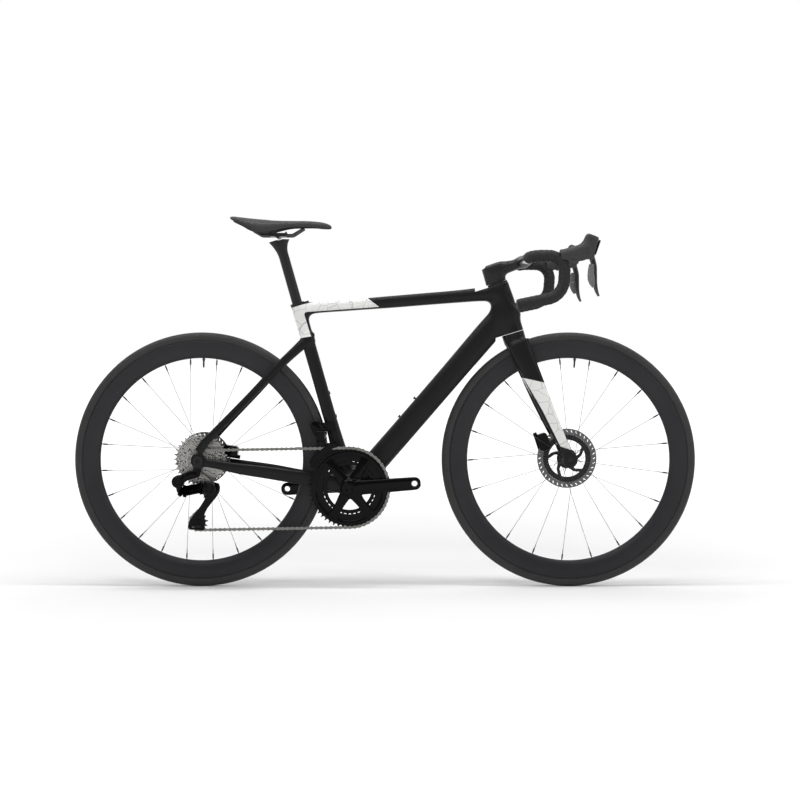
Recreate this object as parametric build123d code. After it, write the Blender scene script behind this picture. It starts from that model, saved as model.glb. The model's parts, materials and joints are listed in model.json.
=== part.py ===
"""Road bicycle with disc brakes and a twelve-speed electronic derailleur drive.

Millimetres. +X points forward, +Y to the rider's left, +Z up. The origin lies on the
ground, midway between the two wheel axles. The drive side is on -Y.
"""
from build123d import *
import math
import os

# ---------------------------------------------------------------- driving dimensions
WHEELBASE = 980.0
TYRE_RADIUS = 339.0
TYRE_SECTION = 14.0
RIM_OUTER = 316.5
RIM_INNER = 270.0
RIM_HALF_WIDTH = 14.0
BEAD_HALF_WIDTH = 10.4
FRONT_X = WHEELBASE / 2
REAR_X = -WHEELBASE / 2
AXLE_Z = TYRE_RADIUS

BRACKET_X = -93.9
BRACKET_Z = 266.6
CRANK_LENGTH = 172.5
CRANK_RISE = 4.2
BOLT_CIRCLE_RADIUS = 55.0
RING_TEETH = 52
SMALL_RING_TEETH = 36
RING_Y = -47.5
SMALL_RING_Y = -40.0

LINK_PITCH = 12.7
ROLLER_RADIUS = 3.875
COG_TEETH = (11, 12, 13, 14, 15, 17, 19, 21, 24, 27, 30, 34)
COG_PITCH = 3.6
FIRST_COG_Y = -61.5
CHAIN_COG = 2
PULLEY_TEETH = 11

AXLE_RADIUS = 6.0
FRONT_HALF_WIDTH = 50.0
REAR_HALF_WIDTH = 71.0
DROPOUT = 6.0
RUNNING = 0.05

HEAD_FOOT = Vector(341.2, 0, 676.3)
HEAD_LEAN = math.radians(17.0)
HEAD_UP = Vector(-math.sin(HEAD_LEAN), 0, math.cos(HEAD_LEAN))
HEAD_LENGTH = 135.0
STEERER_RADIUS = 14.3

SEAT_POINT = Vector(-161.0, 0, 497.1)
SEAT_LEAN = math.radians(15.93)
SEAT_UP = Vector(-math.sin(SEAT_LEAN), 0, math.cos(SEAT_LEAN))
POST_DEPTH = 27.0
POST_WIDTH = 21.0

BAR_HALF_WIDTH = 212.0
BAR_RADIUS = 12.0
TAPE_RADIUS = 15.6
HOOD_Y = 198.0

FRONT_ROTOR_RADIUS = 80.0
REAR_ROTOR_RADIUS = 70.0
ROTOR_INSET = 14.5
ROTOR_THICKNESS = 1.8

SIDES = {"left": 1, "right": -1}


# ---------------------------------------------------------------- shape helpers
def polar(x, z, radius, degrees):
    """Point in the side view at an angle above +X."""
    angle = math.radians(degrees)
    return x + radius * math.cos(angle), z + radius * math.sin(angle)


def disc(x, z, y_from, y_to, radius):
    """Solid cylinder along Y."""
    length = abs(y_to - y_from)
    return Pos(x, (y_from + y_to) / 2, z) * Rot(90, 0, 0) * Cylinder(radius, length)


def washer(x, z, y_from, y_to, outer, inner):
    """Ring along Y."""
    low, high = min(y_from, y_to), max(y_from, y_to)
    return disc(x, z, low, high, outer) - disc(x, z, low - 1, high + 1, inner)


def rod(start, end, radius):
    """Solid cylinder between two points."""
    start, end = Vector(start), Vector(end)
    plane = Plane(origin=start, z_dir=end - start)
    return extrude(plane * Circle(radius), (end - start).length)


def side_plate(outline, y_from, y_to):
    """Plate with a side-view outline, extruded along Y. The outline is a face in (X, Z)."""
    low, high = min(y_from, y_to), max(y_from, y_to)
    plane = Plane(origin=(0, high, 0), x_dir=(1, 0, 0), z_dir=(0, -1, 0))
    return extrude(plane * outline, high - low)


def hull(*circles):
    """Side-view outline around a chain of (x, z, radius) circles."""
    shape = None
    for (x1, z1, r1), (x2, z2, r2) in zip(circles, circles[1:]):
        turn = math.atan2(z2 - z1, x2 - x1)
        spread = math.acos((r1 - r2) / math.hypot(x2 - x1, z2 - z1))
        corners = []
        for x, z, radius, sign in ((x1, z1, r1, 1), (x2, z2, r2, 1), (x2, z2, r2, -1), (x1, z1, r1, -1)):
            angle = turn + sign * spread
            corners.append((x + radius * math.cos(angle), z + radius * math.sin(angle)))
        part = make_face(Polyline(*corners, close=True))
        part += Pos(x1, z1) * Circle(r1)
        part += Pos(x2, z2) * Circle(r2)
        shape = part if shape is None else shape + part
    return shape


def strut(stations):
    """Loft through ellipses; each station is (point, depth in the side view, width)."""
    points = [Vector(point) for point, depth, width in stations]
    sections = []
    for index, (point, depth, width) in enumerate(stations):
        ahead = points[min(index + 1, len(points) - 1)]
        behind = points[max(index - 1, 0)]
        direction = (ahead - behind).normalized()
        across = direction.cross(Vector(0, 1, 0)).normalized()
        plane = Plane(origin=points[index], x_dir=across, z_dir=direction)
        sections.append(plane * Ellipse(depth / 2, width / 2))
    return loft(sections)


def lathe(profile_points, x, z):
    """Solid of revolution about an axle; points are (radius, y)."""
    outline = make_face(Polyline(*[(r, y) for r, y in profile_points], close=True))
    turned = revolve(outline, Axis.Y, 360)
    return Pos(x, 0, z) * turned


# ---------------------------------------------------------------- sprockets
def pitch_radius(teeth):
    return LINK_PITCH / (2 * math.sin(math.pi / teeth))


def sprocket_outline(teeth, phase):
    """Toothed outline about the origin, with a tooth gap centred at the phase angle."""
    radius = pitch_radius(teeth)
    seat = ROLLER_RADIUS + 0.45
    tip = radius + 2.9
    tip_half = 0.7
    edges = []
    for gap in range(teeth):
        centre = math.radians(phase) + 2 * math.pi * gap / teeth

        def place(out, along):
            return (out * math.cos(centre) - along * math.sin(centre),
                    out * math.sin(centre) + along * math.cos(centre))

        low = place(radius + seat * math.cos(math.radians(105)), -seat * math.sin(math.radians(105)))
        high = place(radius + seat * math.cos(math.radians(105)), seat * math.sin(math.radians(105)))
        edges.append(ThreePointArc(low, place(radius - seat, 0), high))
        half_turn = math.pi / teeth
        before = centre + half_turn - tip_half / tip
        after = centre + half_turn + tip_half / tip
        next_low = centre + 2 * half_turn
        first = (tip * math.cos(before), tip * math.sin(before))
        second = (tip * math.cos(after), tip * math.sin(after))
        out = radius + seat * math.cos(math.radians(105))
        along = -seat * math.sin(math.radians(105))
        third = (out * math.cos(next_low) - along * math.sin(next_low),
                 out * math.sin(next_low) + along * math.cos(next_low))
        edges.append(Line(high, first))
        edges.append(Line(first, second))
        edges.append(Line(second, third))
    return make_face(Wire(edges))


def sprocket(teeth, phase, x, z, y, thickness, bore):
    outline = Pos(x, z) * (sprocket_outline(teeth, phase) - Circle(bore))
    return side_plate(outline, y - thickness / 2, y + thickness / 2)


# ---------------------------------------------------------------- chain route
CAGE_PIVOT = (-461.0, 267.0)
GUIDE = (-467.0, 262.0)
CAGE_LENGTH = math.dist(CAGE_PIVOT, (-491.7, 177.3))
CAGE_ANGLE = math.degrees(math.atan2(177.3 - CAGE_PIVOT[1], -491.7 - CAGE_PIVOT[0]))
COG_Y = FIRST_COG_Y + COG_PITCH * CHAIN_COG


def angle_on(centre, radius, start, pitches, near):
    """Angle on a circle that lies a whole number of pitches from a start point."""
    dx, dz = start[0] - centre[0], start[1] - centre[1]
    distance = math.hypot(dx, dz)
    reach = pitches * LINK_PITCH
    swing = math.degrees(math.acos((distance ** 2 + radius ** 2 - reach ** 2) / (2 * distance * radius)))
    base = math.degrees(math.atan2(dz, dx))
    return min((base + swing, base - swing), key=lambda a: abs((a - near + 180) % 360 - 180))


def heading(start, end):
    return math.degrees(math.atan2(end[1] - start[1], end[0] - start[0]))


def route(cage_turn):
    """Roller centres (x, y, z) once round the chain, sprocket phases and closing error."""
    crank, axle = (BRACKET_X, BRACKET_Z), (REAR_X, AXLE_Z)
    tension = polar(*CAGE_PIVOT, CAGE_LENGTH, CAGE_ANGLE + cage_turn)
    big, cog, small = pitch_radius(RING_TEETH), pitch_radius(COG_TEETH[CHAIN_COG]), pitch_radius(PULLEY_TEETH)
    cog_step, pulley_step, ring_step = 360 / COG_TEETH[CHAIN_COG], 360 / PULLEY_TEETH, 360 / RING_TEETH

    ring_top = heading(crank, axle) - math.degrees(math.acos((big - cog) / math.dist(crank, axle)))
    wrapped = RING_TEETH // 2 + 1
    ring_angles = [ring_top - ring_step * k for k in range(wrapped)]
    ring_points = [polar(*crank, big, a) for a in ring_angles]

    low = heading(crank, tension) % 360 + math.degrees(math.acos((big - small) / math.dist(crank, tension)))
    lower = round(math.dist(ring_points[-1], polar(*tension, small, low)) / LINK_PITCH)
    tension_phase = angle_on(tension, small, ring_points[-1], lower, low) % 360
    cross = math.degrees(math.acos(2 * small / math.dist(tension, GUIDE)))
    leave = heading(tension, GUIDE) + cross
    count = round((tension_phase - leave) / pulley_step)
    tension_points = [polar(*tension, small, tension_phase - k * pulley_step) for k in range(count + 1)]

    arrive = leave - 180
    middle = round(math.dist(tension_points[-1], polar(*GUIDE, small, arrive)) / LINK_PITCH)
    guide_phase = angle_on(GUIDE, small, tension_points[-1], middle, arrive)
    guide_phase = (guide_phase + 180) % 360 - 180
    guide_leave = heading(GUIDE, axle) - math.degrees(math.acos((small + cog) / math.dist(GUIDE, axle)))
    count = round((guide_leave - guide_phase) / pulley_step)
    guide_points = [polar(*GUIDE, small, guide_phase + k * pulley_step) for k in range(count + 1)]

    cog_arrive = guide_leave + 180
    short = round(math.dist(guide_points[-1], polar(*axle, cog, cog_arrive)) / LINK_PITCH)
    cog_phase = angle_on(axle, cog, guide_points[-1], short, cog_arrive) % 360
    count = round((cog_phase - ring_top) / cog_step)
    cog_points = [polar(*axle, cog, cog_phase - k * cog_step) for k in range(count + 1)]

    upper_length = math.dist(cog_points[-1], ring_points[0])
    upper = round(upper_length / LINK_PITCH)

    groups = ((ring_points, RING_Y, lower), (tension_points, COG_Y, middle),
              (guide_points, COG_Y, short), (cog_points, COG_Y, upper))
    rollers = []
    for index, (points, y, run) in enumerate(groups):
        rollers += [(x, y, z) for x, z in points]
        next_points, next_y, _ = groups[(index + 1) % len(groups)]
        start, end = points[-1], next_points[0]
        for k in range(1, run):
            t = k / run
            skew = min(max((k - 2) / (run - 4), 0), 1) if run > 8 else t
            rollers.append((start[0] + t * (end[0] - start[0]), y + skew * (next_y - y),
                            start[1] + t * (end[1] - start[1])))
    phases = {"ring": ring_top, "tension": tension_phase, "guide": guide_phase, "cog": cog_phase}
    return rollers, phases, tension, upper_length - upper * LINK_PITCH


def tensioned_route():
    """The cage angle at which the chain closes best on an even number of whole links."""
    turns = [step / 400 for step in range(-800, 801)]
    even = [turn for turn in turns if len(route(turn)[0]) % 2 == 0]
    return route(min(even, key=lambda turn: abs(route(turn)[3])))


ROLLERS, PHASES, TENSION, CLOSING_ERROR = tensioned_route()


# ---------------------------------------------------------------- wheels
def tyre(x):
    """Open-bellied tyre whose beads sit between the rim's hooks."""
    centre = TYRE_RADIUS - TYRE_SECTION
    crown = Pos(centre, 0) * Circle(TYRE_SECTION)
    below = Pos(RIM_OUTER - 19.9, 0) * Rectangle(40, 60)
    section = crown - below
    section += Pos((RIM_OUTER + 311) / 2, 0) * Rectangle(RIM_OUTER + 0.2 - 311, 2 * BEAD_HALF_WIDTH)
    section -= Pos(centre + 0.5, 0) * Circle(TYRE_SECTION - 3)
    section -= Pos(312, 0) * Rectangle(12, 15)
    return Pos(x, 0, AXLE_Z) * revolve(section, Axis.Y, 360)


def rim(x, valve_angle):
    """Deep hollow rim with bead hooks and a valve hole."""
    hook = RIM_HALF_WIDTH - BEAD_HALF_WIDTH - 0.1
    outer = [(RIM_OUTER, RIM_HALF_WIDTH), (300, RIM_HALF_WIDTH), (285, 12.2), (275, 7.5),
             (RIM_INNER, 3.5)]
    outline = outer + [(r, -y) for r, y in reversed(outer)]
    section = make_face(Polyline(*outline, close=True))
    section -= Pos(314.5, 0) * Rectangle(9, 2 * (RIM_HALF_WIDTH - hook))
    inner = [(306, 10.5), (299, 11.5), (286, 9.8), (277, 5.5), (275, 3.0)]
    cavity = inner + [(r, -y) for r, y in reversed(inner)]
    section -= make_face(Polyline(*cavity, close=True))
    ring = Pos(x, 0, AXLE_Z) * revolve(section, Axis.Y, 360)
    inner_end = polar(x, AXLE_Z, RIM_INNER - 2, valve_angle)
    outer_end = polar(x, AXLE_Z, RIM_OUTER, valve_angle)
    return ring - rod((inner_end[0], 0, inner_end[1]), (outer_end[0], 0, outer_end[1]), 3.2)


def valve(x, valve_angle):
    """Valve stem with a knurled cap, pointing at the hub."""
    def at(radius):
        px, pz = polar(x, AXLE_Z, radius, valve_angle)
        return px, 0, pz
    return rod(at(308), at(262), 3.0) + rod(at(268), at(266), 4.6) + rod(at(262), at(245), 2.4)


def spoke(x, rim_angle, hub_radius, hub_y, side, tangent):
    """Round spoke from the rim to a tangent point on a hub flange, with its nipple."""
    reach = math.sqrt(RIM_INNER ** 2 - tangent ** 2)
    hub_angle = rim_angle + side * math.degrees(math.atan2(reach, tangent)) if tangent else rim_angle
    foot = polar(x, AXLE_Z, tangent if tangent else hub_radius, hub_angle)
    rim_end = polar(x, AXLE_Z, RIM_INNER + 1.0, rim_angle)
    start = Vector(foot[0], hub_y, foot[1])
    end = Vector(rim_end[0], 0, rim_end[1])
    thread = end + (start - end).normalized() * 14
    return rod(start, end, 1.0) + rod(thread, end, 2.1)


def front_spokes():
    """Twenty-one spokes: seven radial on the right, fourteen crossed on the disc side."""
    step = 360 / 21
    valve_angle = 90 - 3.7
    spokes = []
    for k in range(21):
        angle = valve_angle + step / 2 - k * step
        kind = k % 3
        if kind == 0:
            spokes.append(spoke(FRONT_X, angle, 15.5, -30.0, 0, 0))
        else:
            lateral = 22.0 if kind == 1 else 19.0
            spokes.append(spoke(FRONT_X, angle, 0, lateral, -1 if kind == 1 else 1, 19.0))
    return spokes


def rear_spokes():
    """Twenty-four spokes: sixteen crossed on the drive side, eight radial on the left."""
    step = 360 / 24
    valve_angle = 90 - 1.1
    spokes = []
    for k in range(24):
        angle = valve_angle + step / 2 - k * step
        kind = k % 3
        if kind == 2:
            spokes.append(spoke(REAR_X, angle, 15.5, 36.0, 0, 0))
        else:
            lateral = -14.0 if kind == 0 else -17.0
            spokes.append(spoke(REAR_X, angle, 0, lateral, 1 if kind == 0 else -1, 27.0))
    return spokes


def front_hub():
    """Hub shell with two flanges and a splined rotor seat."""
    rotor_y = FRONT_HALF_WIDTH - ROTOR_INSET
    bore = 9.5 + RUNNING
    profile = [(bore, -39), (15, -39), (15, -33), (19, -32), (19, -28), (12.5, -24), (12.5, 13), (21, 17),
               (21, 24), (17, 27), (17, rotor_y + 5), (bore, rotor_y + 5)]
    return lathe(profile, FRONT_X, AXLE_Z)


def rear_hub():
    """Hub shell with a wide drive-side flange; the freehub runs inside its right end."""
    rotor_y = REAR_HALF_WIDTH - ROTOR_INSET
    bore = 9.5 + RUNNING
    profile = [(bore, -19), (29, -19), (29, -12), (15, -6), (14, 25), (19, 34), (19, 38), (16, 41),
               (17, 45), (17, rotor_y + 4), (bore, rotor_y + 4)]
    return lathe(profile, REAR_X, AXLE_Z)


def rotor(x, y, radius, fin_radius):
    """Steel brake band with slots, carried on a finned ring and five curved arms."""
    band = Circle(radius) - Circle(radius - 15.5)
    slots = 36
    for k in range(slots):
        px, pz = polar(0, 0, radius - 6.5, 360 / slots * k)
        band -= Pos(px, pz) * Rot(0, 0, 360 / slots * k + 35) * SlotOverall(7.0, 2.4)
    plate = side_plate(Pos(x, AXLE_Z) * band, y - ROTOR_THICKNESS / 2, y + ROTOR_THICKNESS / 2)
    carrier = Circle(radius - 15.7) - Circle(fin_radius)
    carrier += Circle(27) - Circle(17.1)
    for k in range(5):
        angle = 72 * k
        root = polar(0, 0, 24, angle)
        bend = polar(0, 0, (24 + fin_radius) / 2, angle + 14)
        tip = polar(0, 0, fin_radius + 3, angle + 34)
        carrier += hull((*root, 5.0), (*bend, 4.0), (*tip, 4.5))
    spider = side_plate(Pos(x, AXLE_Z) * carrier, y - 1.6, y + 1.6)
    lock = washer(x, AXLE_Z, y + 1.7, y + 4.5, 21, 17.1)
    return [plate, spider, lock]


def axle_set(x, half_width, cap_length, outboard):
    """Thru-axle with its head, and the two hub end caps it clamps."""
    reach = half_width + DROPOUT + outboard
    axle = disc(x, AXLE_Z, -reach, reach, AXLE_RADIUS)
    axle += disc(x, AXLE_Z, reach, reach + 3, 9.5)
    caps = []
    for sign in (1, -1):
        start, end = sign * (half_width - cap_length), sign * (half_width - 0.02)
        caps.append(washer(x, AXLE_Z, min(start, end), max(start, end), 9.5, AXLE_RADIUS + 0.02))
    return [axle] + caps


# ---------------------------------------------------------------- drive train
def cogs():
    """Twelve sprockets, the larger ones pierced with windows."""
    made = []
    for index, teeth in enumerate(COG_TEETH):
        y = FIRST_COG_Y + COG_PITCH * index
        outline = sprocket_outline(teeth, PHASES["cog"]) - Circle(15.5 if teeth < 13 else 17.6)
        root = pitch_radius(teeth) - ROLLER_RADIUS
        if root > 36:
            depth = root - 30 - 2
            windows = 8
            for k in range(windows):
                angle = 360 / windows * k + 8
                px, pz = polar(0, 0, 28 + depth / 2, angle)
                outline -= Pos(px, pz) * Rot(0, 0, angle + 35) * SlotOverall(depth, min(depth * 0.7, 8))
        made.append(side_plate(Pos(REAR_X, AXLE_Z) * outline, y - 0.75, y + 0.75))
    return made


def freehub():
    """Freehub body with the lock ring outside the smallest sprocket."""
    bore = 9.5 + RUNNING
    last = FIRST_COG_Y + COG_PITCH * (len(COG_TEETH) - 1)
    body = washer(REAR_X, AXLE_Z, FIRST_COG_Y + 5.5, last + 2.0, 17.5, bore)
    nose = washer(REAR_X, AXLE_Z, FIRST_COG_Y - 1.9, FIRST_COG_Y + 5.5, 15.4, bore)
    ring = washer(REAR_X, AXLE_Z, FIRST_COG_Y - 2.8, FIRST_COG_Y - 0.8, 18.5, bore)
    return body + nose + ring


def link_outline(start, end, waist):
    """Figure-eight side plate between two pin centres."""
    length = math.dist(start, end)
    radius = 4.25
    outline = Pos(-length / 2, 0) * Circle(radius) + Pos(length / 2, 0) * Circle(radius)
    outline += Rectangle(length, 2 * waist)
    turn = math.degrees(math.atan2(end[1] - start[1], end[0] - start[0]))
    return Pos((start[0] + end[0]) / 2, (start[1] + end[1]) / 2) * Rot(0, 0, turn) * outline


def chain():
    """Alternating inner links, with rollers, and outer links, with pins."""
    made = []
    for index, (x1, y1, z1) in enumerate(ROLLERS):
        x2, y2, z2 = ROLLERS[(index + 1) % len(ROLLERS)]
        y = (y1 + y2) / 2
        inner = index % 2 == 0
        near, far = (1.1, 1.8) if inner else (1.88, 2.55)
        outline = link_outline((x1, z1), (x2, z2), 3.1 if inner else 2.7)
        if inner:
            outline -= Pos(x1, z1) * Circle(1.95)
            outline -= Pos(x2, z2) * Circle(1.95)
        link = side_plate(outline, y + near, y + far) + side_plate(outline, y - far, y - near)
        for x, z in ((x1, z1), (x2, z2)):
            if inner:
                link += washer(x, z, y - 1.2, y + 1.2, ROLLER_RADIUS, 1.95)
            else:
                link += disc(x, z, y - 2.65, y + 2.65, 1.75)
        made.append(link)
    return made


def chainring(teeth, phase, y, rim_width, web_inner, arm_foot):
    """Toothed ring with four bolt tabs on the crank's arm angles."""
    root = pitch_radius(teeth) - ROLLER_RADIUS - 0.5
    outline = sprocket_outline(teeth, phase) - Circle(web_inner)
    ring = side_plate(Pos(BRACKET_X, BRACKET_Z) * outline, y - 0.8, y + 0.8)
    web = Circle(root - 1.5) - Circle(web_inner)
    for angle in spider_angles():
        foot = polar(0, 0, arm_foot, angle)
        tip = polar(0, 0, web_inner + 3, angle)
        web += hull((*foot, 7.5), (*tip, 9.5))
        web -= Pos(*foot) * Circle(4.1)
    return ring + side_plate(Pos(BRACKET_X, BRACKET_Z) * web, y - rim_width, y + 1.0)


def spider_angles():
    """Arms are paired about the crank arm, four in all."""
    return [CRANK_RISE + offset for offset in (56, 124, -56, -124)]


def crank_arm(side):
    """Crank arm from the spindle out to the threaded pedal eye."""
    sign = SIDES[side]
    direction = CRANK_RISE if side == "right" else CRANK_RISE + 180
    pedal = polar(BRACKET_X, BRACKET_Z, CRANK_LENGTH, direction)
    mid = polar(BRACKET_X, BRACKET_Z, CRANK_LENGTH * 0.45, direction)
    root = (BRACKET_X, BRACKET_Z)
    stations = [((root[0], sign * 56.0, root[1]), 40, 15), ((mid[0], sign * 62.5, mid[1]), 36, 13),
                ((pedal[0], sign * 66.5, pedal[1]), 34, 13)]
    arm = strut(stations)
    arm += disc(*root, sign * 47.5, sign * 62.0, 20.0)
    arm += disc(*pedal, sign * 60.0, sign * 73.0, 17.0)
    return arm - disc(*pedal, sign * 59.0, sign * 75.0, 7.14)


def crank_right():
    """Right arm, four-arm spider and the hollow spindle."""
    arm = crank_arm("right")
    for angle in spider_angles():
        foot = polar(BRACKET_X, BRACKET_Z, 14, angle)
        tip = polar(BRACKET_X, BRACKET_Z, BOLT_CIRCLE_RADIUS, angle)
        arm += side_plate(hull((*foot, 12.0), (*tip, 7.5)), -46.4, -42.4)
        arm -= disc(*tip, -47, -41, 4.1)
    arm += disc(BRACKET_X, BRACKET_Z, -60, 56, 12.0)
    arm += disc(BRACKET_X, BRACKET_Z, -48.2, -46.0, 17.0)
    return arm - disc(BRACKET_X, BRACKET_Z, -70, 70, 9.0)


def crank_left():
    """Left arm clamped on the spindle end."""
    return crank_arm("left") - disc(BRACKET_X, BRACKET_Z, 40, 56.1, 12.0)


def chainring_bolts():
    """Four bolts through both rings and the spider."""
    bolts = []
    for angle in spider_angles():
        x, z = polar(BRACKET_X, BRACKET_Z, BOLT_CIRCLE_RADIUS, angle)
        bolts.append(disc(x, z, -51.0, -38.8, 4.0))
    return bolts


def pulley(x, z, phase):
    """Eleven-tooth jockey wheel with a bearing hub."""
    wheel = sprocket(PULLEY_TEETH, phase, x, z, COG_Y, 1.9, 3.0 + RUNNING)
    wheel += washer(x, z, COG_Y - 2.6, COG_Y + 2.6, 8.5, 3.0 + RUNNING)
    return wheel


# ---------------------------------------------------------------- rear derailleur
LINK_AXIS = Vector(0, 0.6, 0.8)
LINK_LENGTH = 48.0
LINK_REST = math.radians(-19.2)
LINK_GAP = 15.0
B_BOLT = (-492.6, 308.0)
P_OUTER = Vector(-482.0, -84.0, 273.0)
TRAVEL_DIR = LINK_AXIS.cross(Vector(1, 0, 0))
LINK_VECTOR = Vector(1, 0, 0) * (LINK_LENGTH * math.cos(LINK_REST)) \
    + TRAVEL_DIR * (LINK_LENGTH * math.sin(LINK_REST))
B_OUTER = P_OUTER - LINK_VECTOR
B_INNER = B_OUTER + TRAVEL_DIR * LINK_GAP
P_INNER = P_OUTER + TRAVEL_DIR * LINK_GAP
CAGE_GAP = 4.2


def pin(centre, half, radius):
    return rod(centre - LINK_AXIS * half, centre + LINK_AXIS * half, radius)


def link_bar(start, end, height, thickness, clearance_end):
    """Parallelogram link with an eye at each end."""
    direction = (end - start).normalized()
    plane = Plane(origin=(start + end) / 2, x_dir=direction, z_dir=LINK_AXIS)
    bar = extrude(plane * SlotOverall((end - start).length + thickness, thickness), height / 2, both=True)
    bar -= pin(start, height, 2.0 + RUNNING)
    return bar - pin(end, height, 2.0 + clearance_end)


def knuckle_ears(outer, inner, toward):
    """Two ear plates, above and below the links, joined by their pins."""
    direction = (inner - outer).normalized()
    body = None
    for sign in (1, -1):
        for centre in ((outer + inner) / 2,):
            plane = Plane(origin=centre + LINK_AXIS * (sign * 10.2), x_dir=direction, z_dir=LINK_AXIS)
            ear = extrude(plane * SlotOverall(LINK_GAP + 9, 9), 1.6, both=True)
            body = ear if body is None else body + ear
    body += pin(outer, 10.0, 2.0)
    body += pin(inner, 10.0, 2.0)
    return body + rod(outer + toward - LINK_AXIS * 10, outer + toward + LINK_AXIS * 10, 4.0) \
        + rod(inner + toward - LINK_AXIS * 10, inner + toward + LINK_AXIS * 10, 4.0)


def rd_b_knuckle():
    """Fixed upper bracket with its hanger bolt and motor housing."""
    back = Vector(-11.5, 0, 0)
    body = knuckle_ears(B_OUTER, B_INNER, back)
    middle = (B_OUTER + B_INNER) / 2 + back
    body += rod(middle - LINK_AXIS * 11, middle + LINK_AXIS * 11, 6.5)
    rear = Vector(-541.0, -84.0, 285.6)
    body += rod(rear + Vector(0, 14, 0), rear - Vector(0, 12, 0), 14.0)
    body += strut([(rear, 26, 22), ((-520, -89, 299), 22, 20), ((B_BOLT[0], -94, B_BOLT[1]), 20, 18)])
    body += strut([((-540, -66, 259), 16, 14), ((-541, -80, 284), 20, 16)])
    return body + disc(*B_BOLT, -83.4, -98, 9.0)


def rd_p_knuckle():
    """Lower knuckle that carries the cage pivot."""
    front = Vector(11.5, 0, 0)
    body = knuckle_ears(P_OUTER, P_INNER, front)
    middle = (P_OUTER + P_INNER) / 2 + front
    body += rod(middle - LINK_AXIS * 11, middle + LINK_AXIS * 11, 6.5)
    return body + disc(*CAGE_PIVOT, COG_Y - 8.2, COG_Y - 27, 14.0)


def rd_cage():
    """Two cage plates joined by the pulley axles, with the pivot boss outside."""
    outline = hull((*CAGE_PIVOT, 13.0), (-470.0, 238.0, 8.0), (*TENSION, 12.0))
    outline += Pos(*GUIDE) * Circle(13.0)
    outline -= hull((-471.0, 231.0, 4.0), (-485.0, 198.0, 4.5))
    outer = side_plate(outline, COG_Y - CAGE_GAP - 1.8, COG_Y - CAGE_GAP)
    inner = side_plate(outline, COG_Y + CAGE_GAP, COG_Y + CAGE_GAP + 1.6)
    cage = outer + inner
    for x, z in (GUIDE, TENSION):
        cage += disc(x, z, COG_Y - CAGE_GAP - 2.4, COG_Y + CAGE_GAP + 2.4, 3.0)
    return cage + disc(*CAGE_PIVOT, COG_Y - CAGE_GAP - 1, COG_Y - 7.9, 11.0)


def derailleur_hanger():
    """Bolt-on hanger outside the right dropout."""
    outline = hull((REAR_X, AXLE_Z, 13.0), (*B_BOLT, 10.0))
    outline -= Pos(REAR_X, AXLE_Z) * Circle(AXLE_RADIUS + 0.02)
    return side_plate(outline, -REAR_HALF_WIDTH - DROPOUT - 0.02, -83.2)


# ---------------------------------------------------------------- front derailleur
FD_TOP = Vector(-168.0, -48.0, 412.0)
FD_DROP = Vector(0, 0, -20.0)
FD_TIP_CLEARANCE = 6.4


def fd_body(frame):
    """Motor body beside the seat tube, with its braze-on foot."""
    body = strut([((-190, -37, 440), 26, 20), ((-180, -37, 424), 34, 24), ((-168, -36, 409), 34, 18)])
    body += Pos(-156, -22, 428) * Box(48, 16, 20) - frame
    for end in (-12.5, 12.5):
        body += rod(FD_TOP + Vector(end - 1.8, 0, 0), FD_TOP + Vector(end + 1.8, 0, 0), 4.5)
        body += Pos(-168 + end, -44, 414) * Box(3.8, 14, 16)
    body += Pos(-168, -42, 421) * Box(28, 14, 6)
    body += rod(FD_TOP - Vector(12, 0, 0), FD_TOP + Vector(12, 0, 0), 2.0)
    link_space = Pos(-168, -42, 404) * Box(20.8, 28, 27)
    link_space -= rod(FD_TOP - Vector(14, 0, 0), FD_TOP + Vector(14, 0, 0), 2.0)
    return body - link_space


def fd_link():
    """Swinging link between the body and the cage."""
    foot = FD_TOP + FD_DROP
    plane = Plane(origin=(FD_TOP + foot) / 2, x_dir=(0, 0, 1), z_dir=(1, 0, 0))
    bar = extrude(plane * SlotOverall(20 + 9, 9), 10.0, both=True)
    bar -= rod(FD_TOP - Vector(15, 0, 0), FD_TOP + Vector(15, 0, 0), 2.0 + RUNNING)
    return bar - rod(foot - Vector(15, 0, 0), foot + Vector(15, 0, 0), 2.0 + RUNNING)


def fd_cage():
    """Two curved plates round the upper chain run, bridged above it."""
    foot = FD_TOP + FD_DROP
    tip = pitch_radius(RING_TEETH) + FD_TIP_CLEARANCE
    window = make_face(Polyline((-199, 320), (-186, 318), (-124, 364), (-126, 382), (-150, 385), (-186, 372),
                                (-203, 338), close=True))
    outer = window - Pos(BRACKET_X, BRACKET_Z) * Circle(tip)
    inner = window - Pos(BRACKET_X, BRACKET_Z) * Circle(tip - 18)
    cage = side_plate(outer, RING_Y - 6.0, RING_Y - 4.8) + side_plate(inner, RING_Y + 4.4, RING_Y + 5.6)
    bridge = make_face(Polyline((-152, 385), (-126, 382.5), (-126, 379), (-152, 380.5), close=True))
    tail = Pos(-193, 331) * Circle(4)
    cage += side_plate(bridge + tail, RING_Y - 6.0, RING_Y + 5.6)
    cage += side_plate(bridge, foot.Y - 4.5, foot.Y + 4.5)
    for end in (-12.4, 12.4):
        ear = Pos(foot.X + end, foot.Y, foot.Z - 6.0) * Box(3.0, 9, 20)
        cage += ear
    return cage + rod(foot - Vector(12.4, 0, 0), foot + Vector(12.4, 0, 0), 2.0)


# ---------------------------------------------------------------- frame
def head_point(distance):
    return HEAD_FOOT + HEAD_UP * distance


def seat_point(height):
    """Point on the seat tube axis at a given height above the ground."""
    return SEAT_POINT + SEAT_UP * ((height - SEAT_POINT.Z) / SEAT_UP.Z)


def seat_section(height, clearance):
    plane = Plane(origin=seat_point(height), x_dir=(SEAT_UP.Z, 0, -SEAT_UP.X), z_dir=SEAT_UP)
    return plane * Ellipse(POST_DEPTH / 2 + clearance, POST_WIDTH / 2 + clearance)


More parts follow.
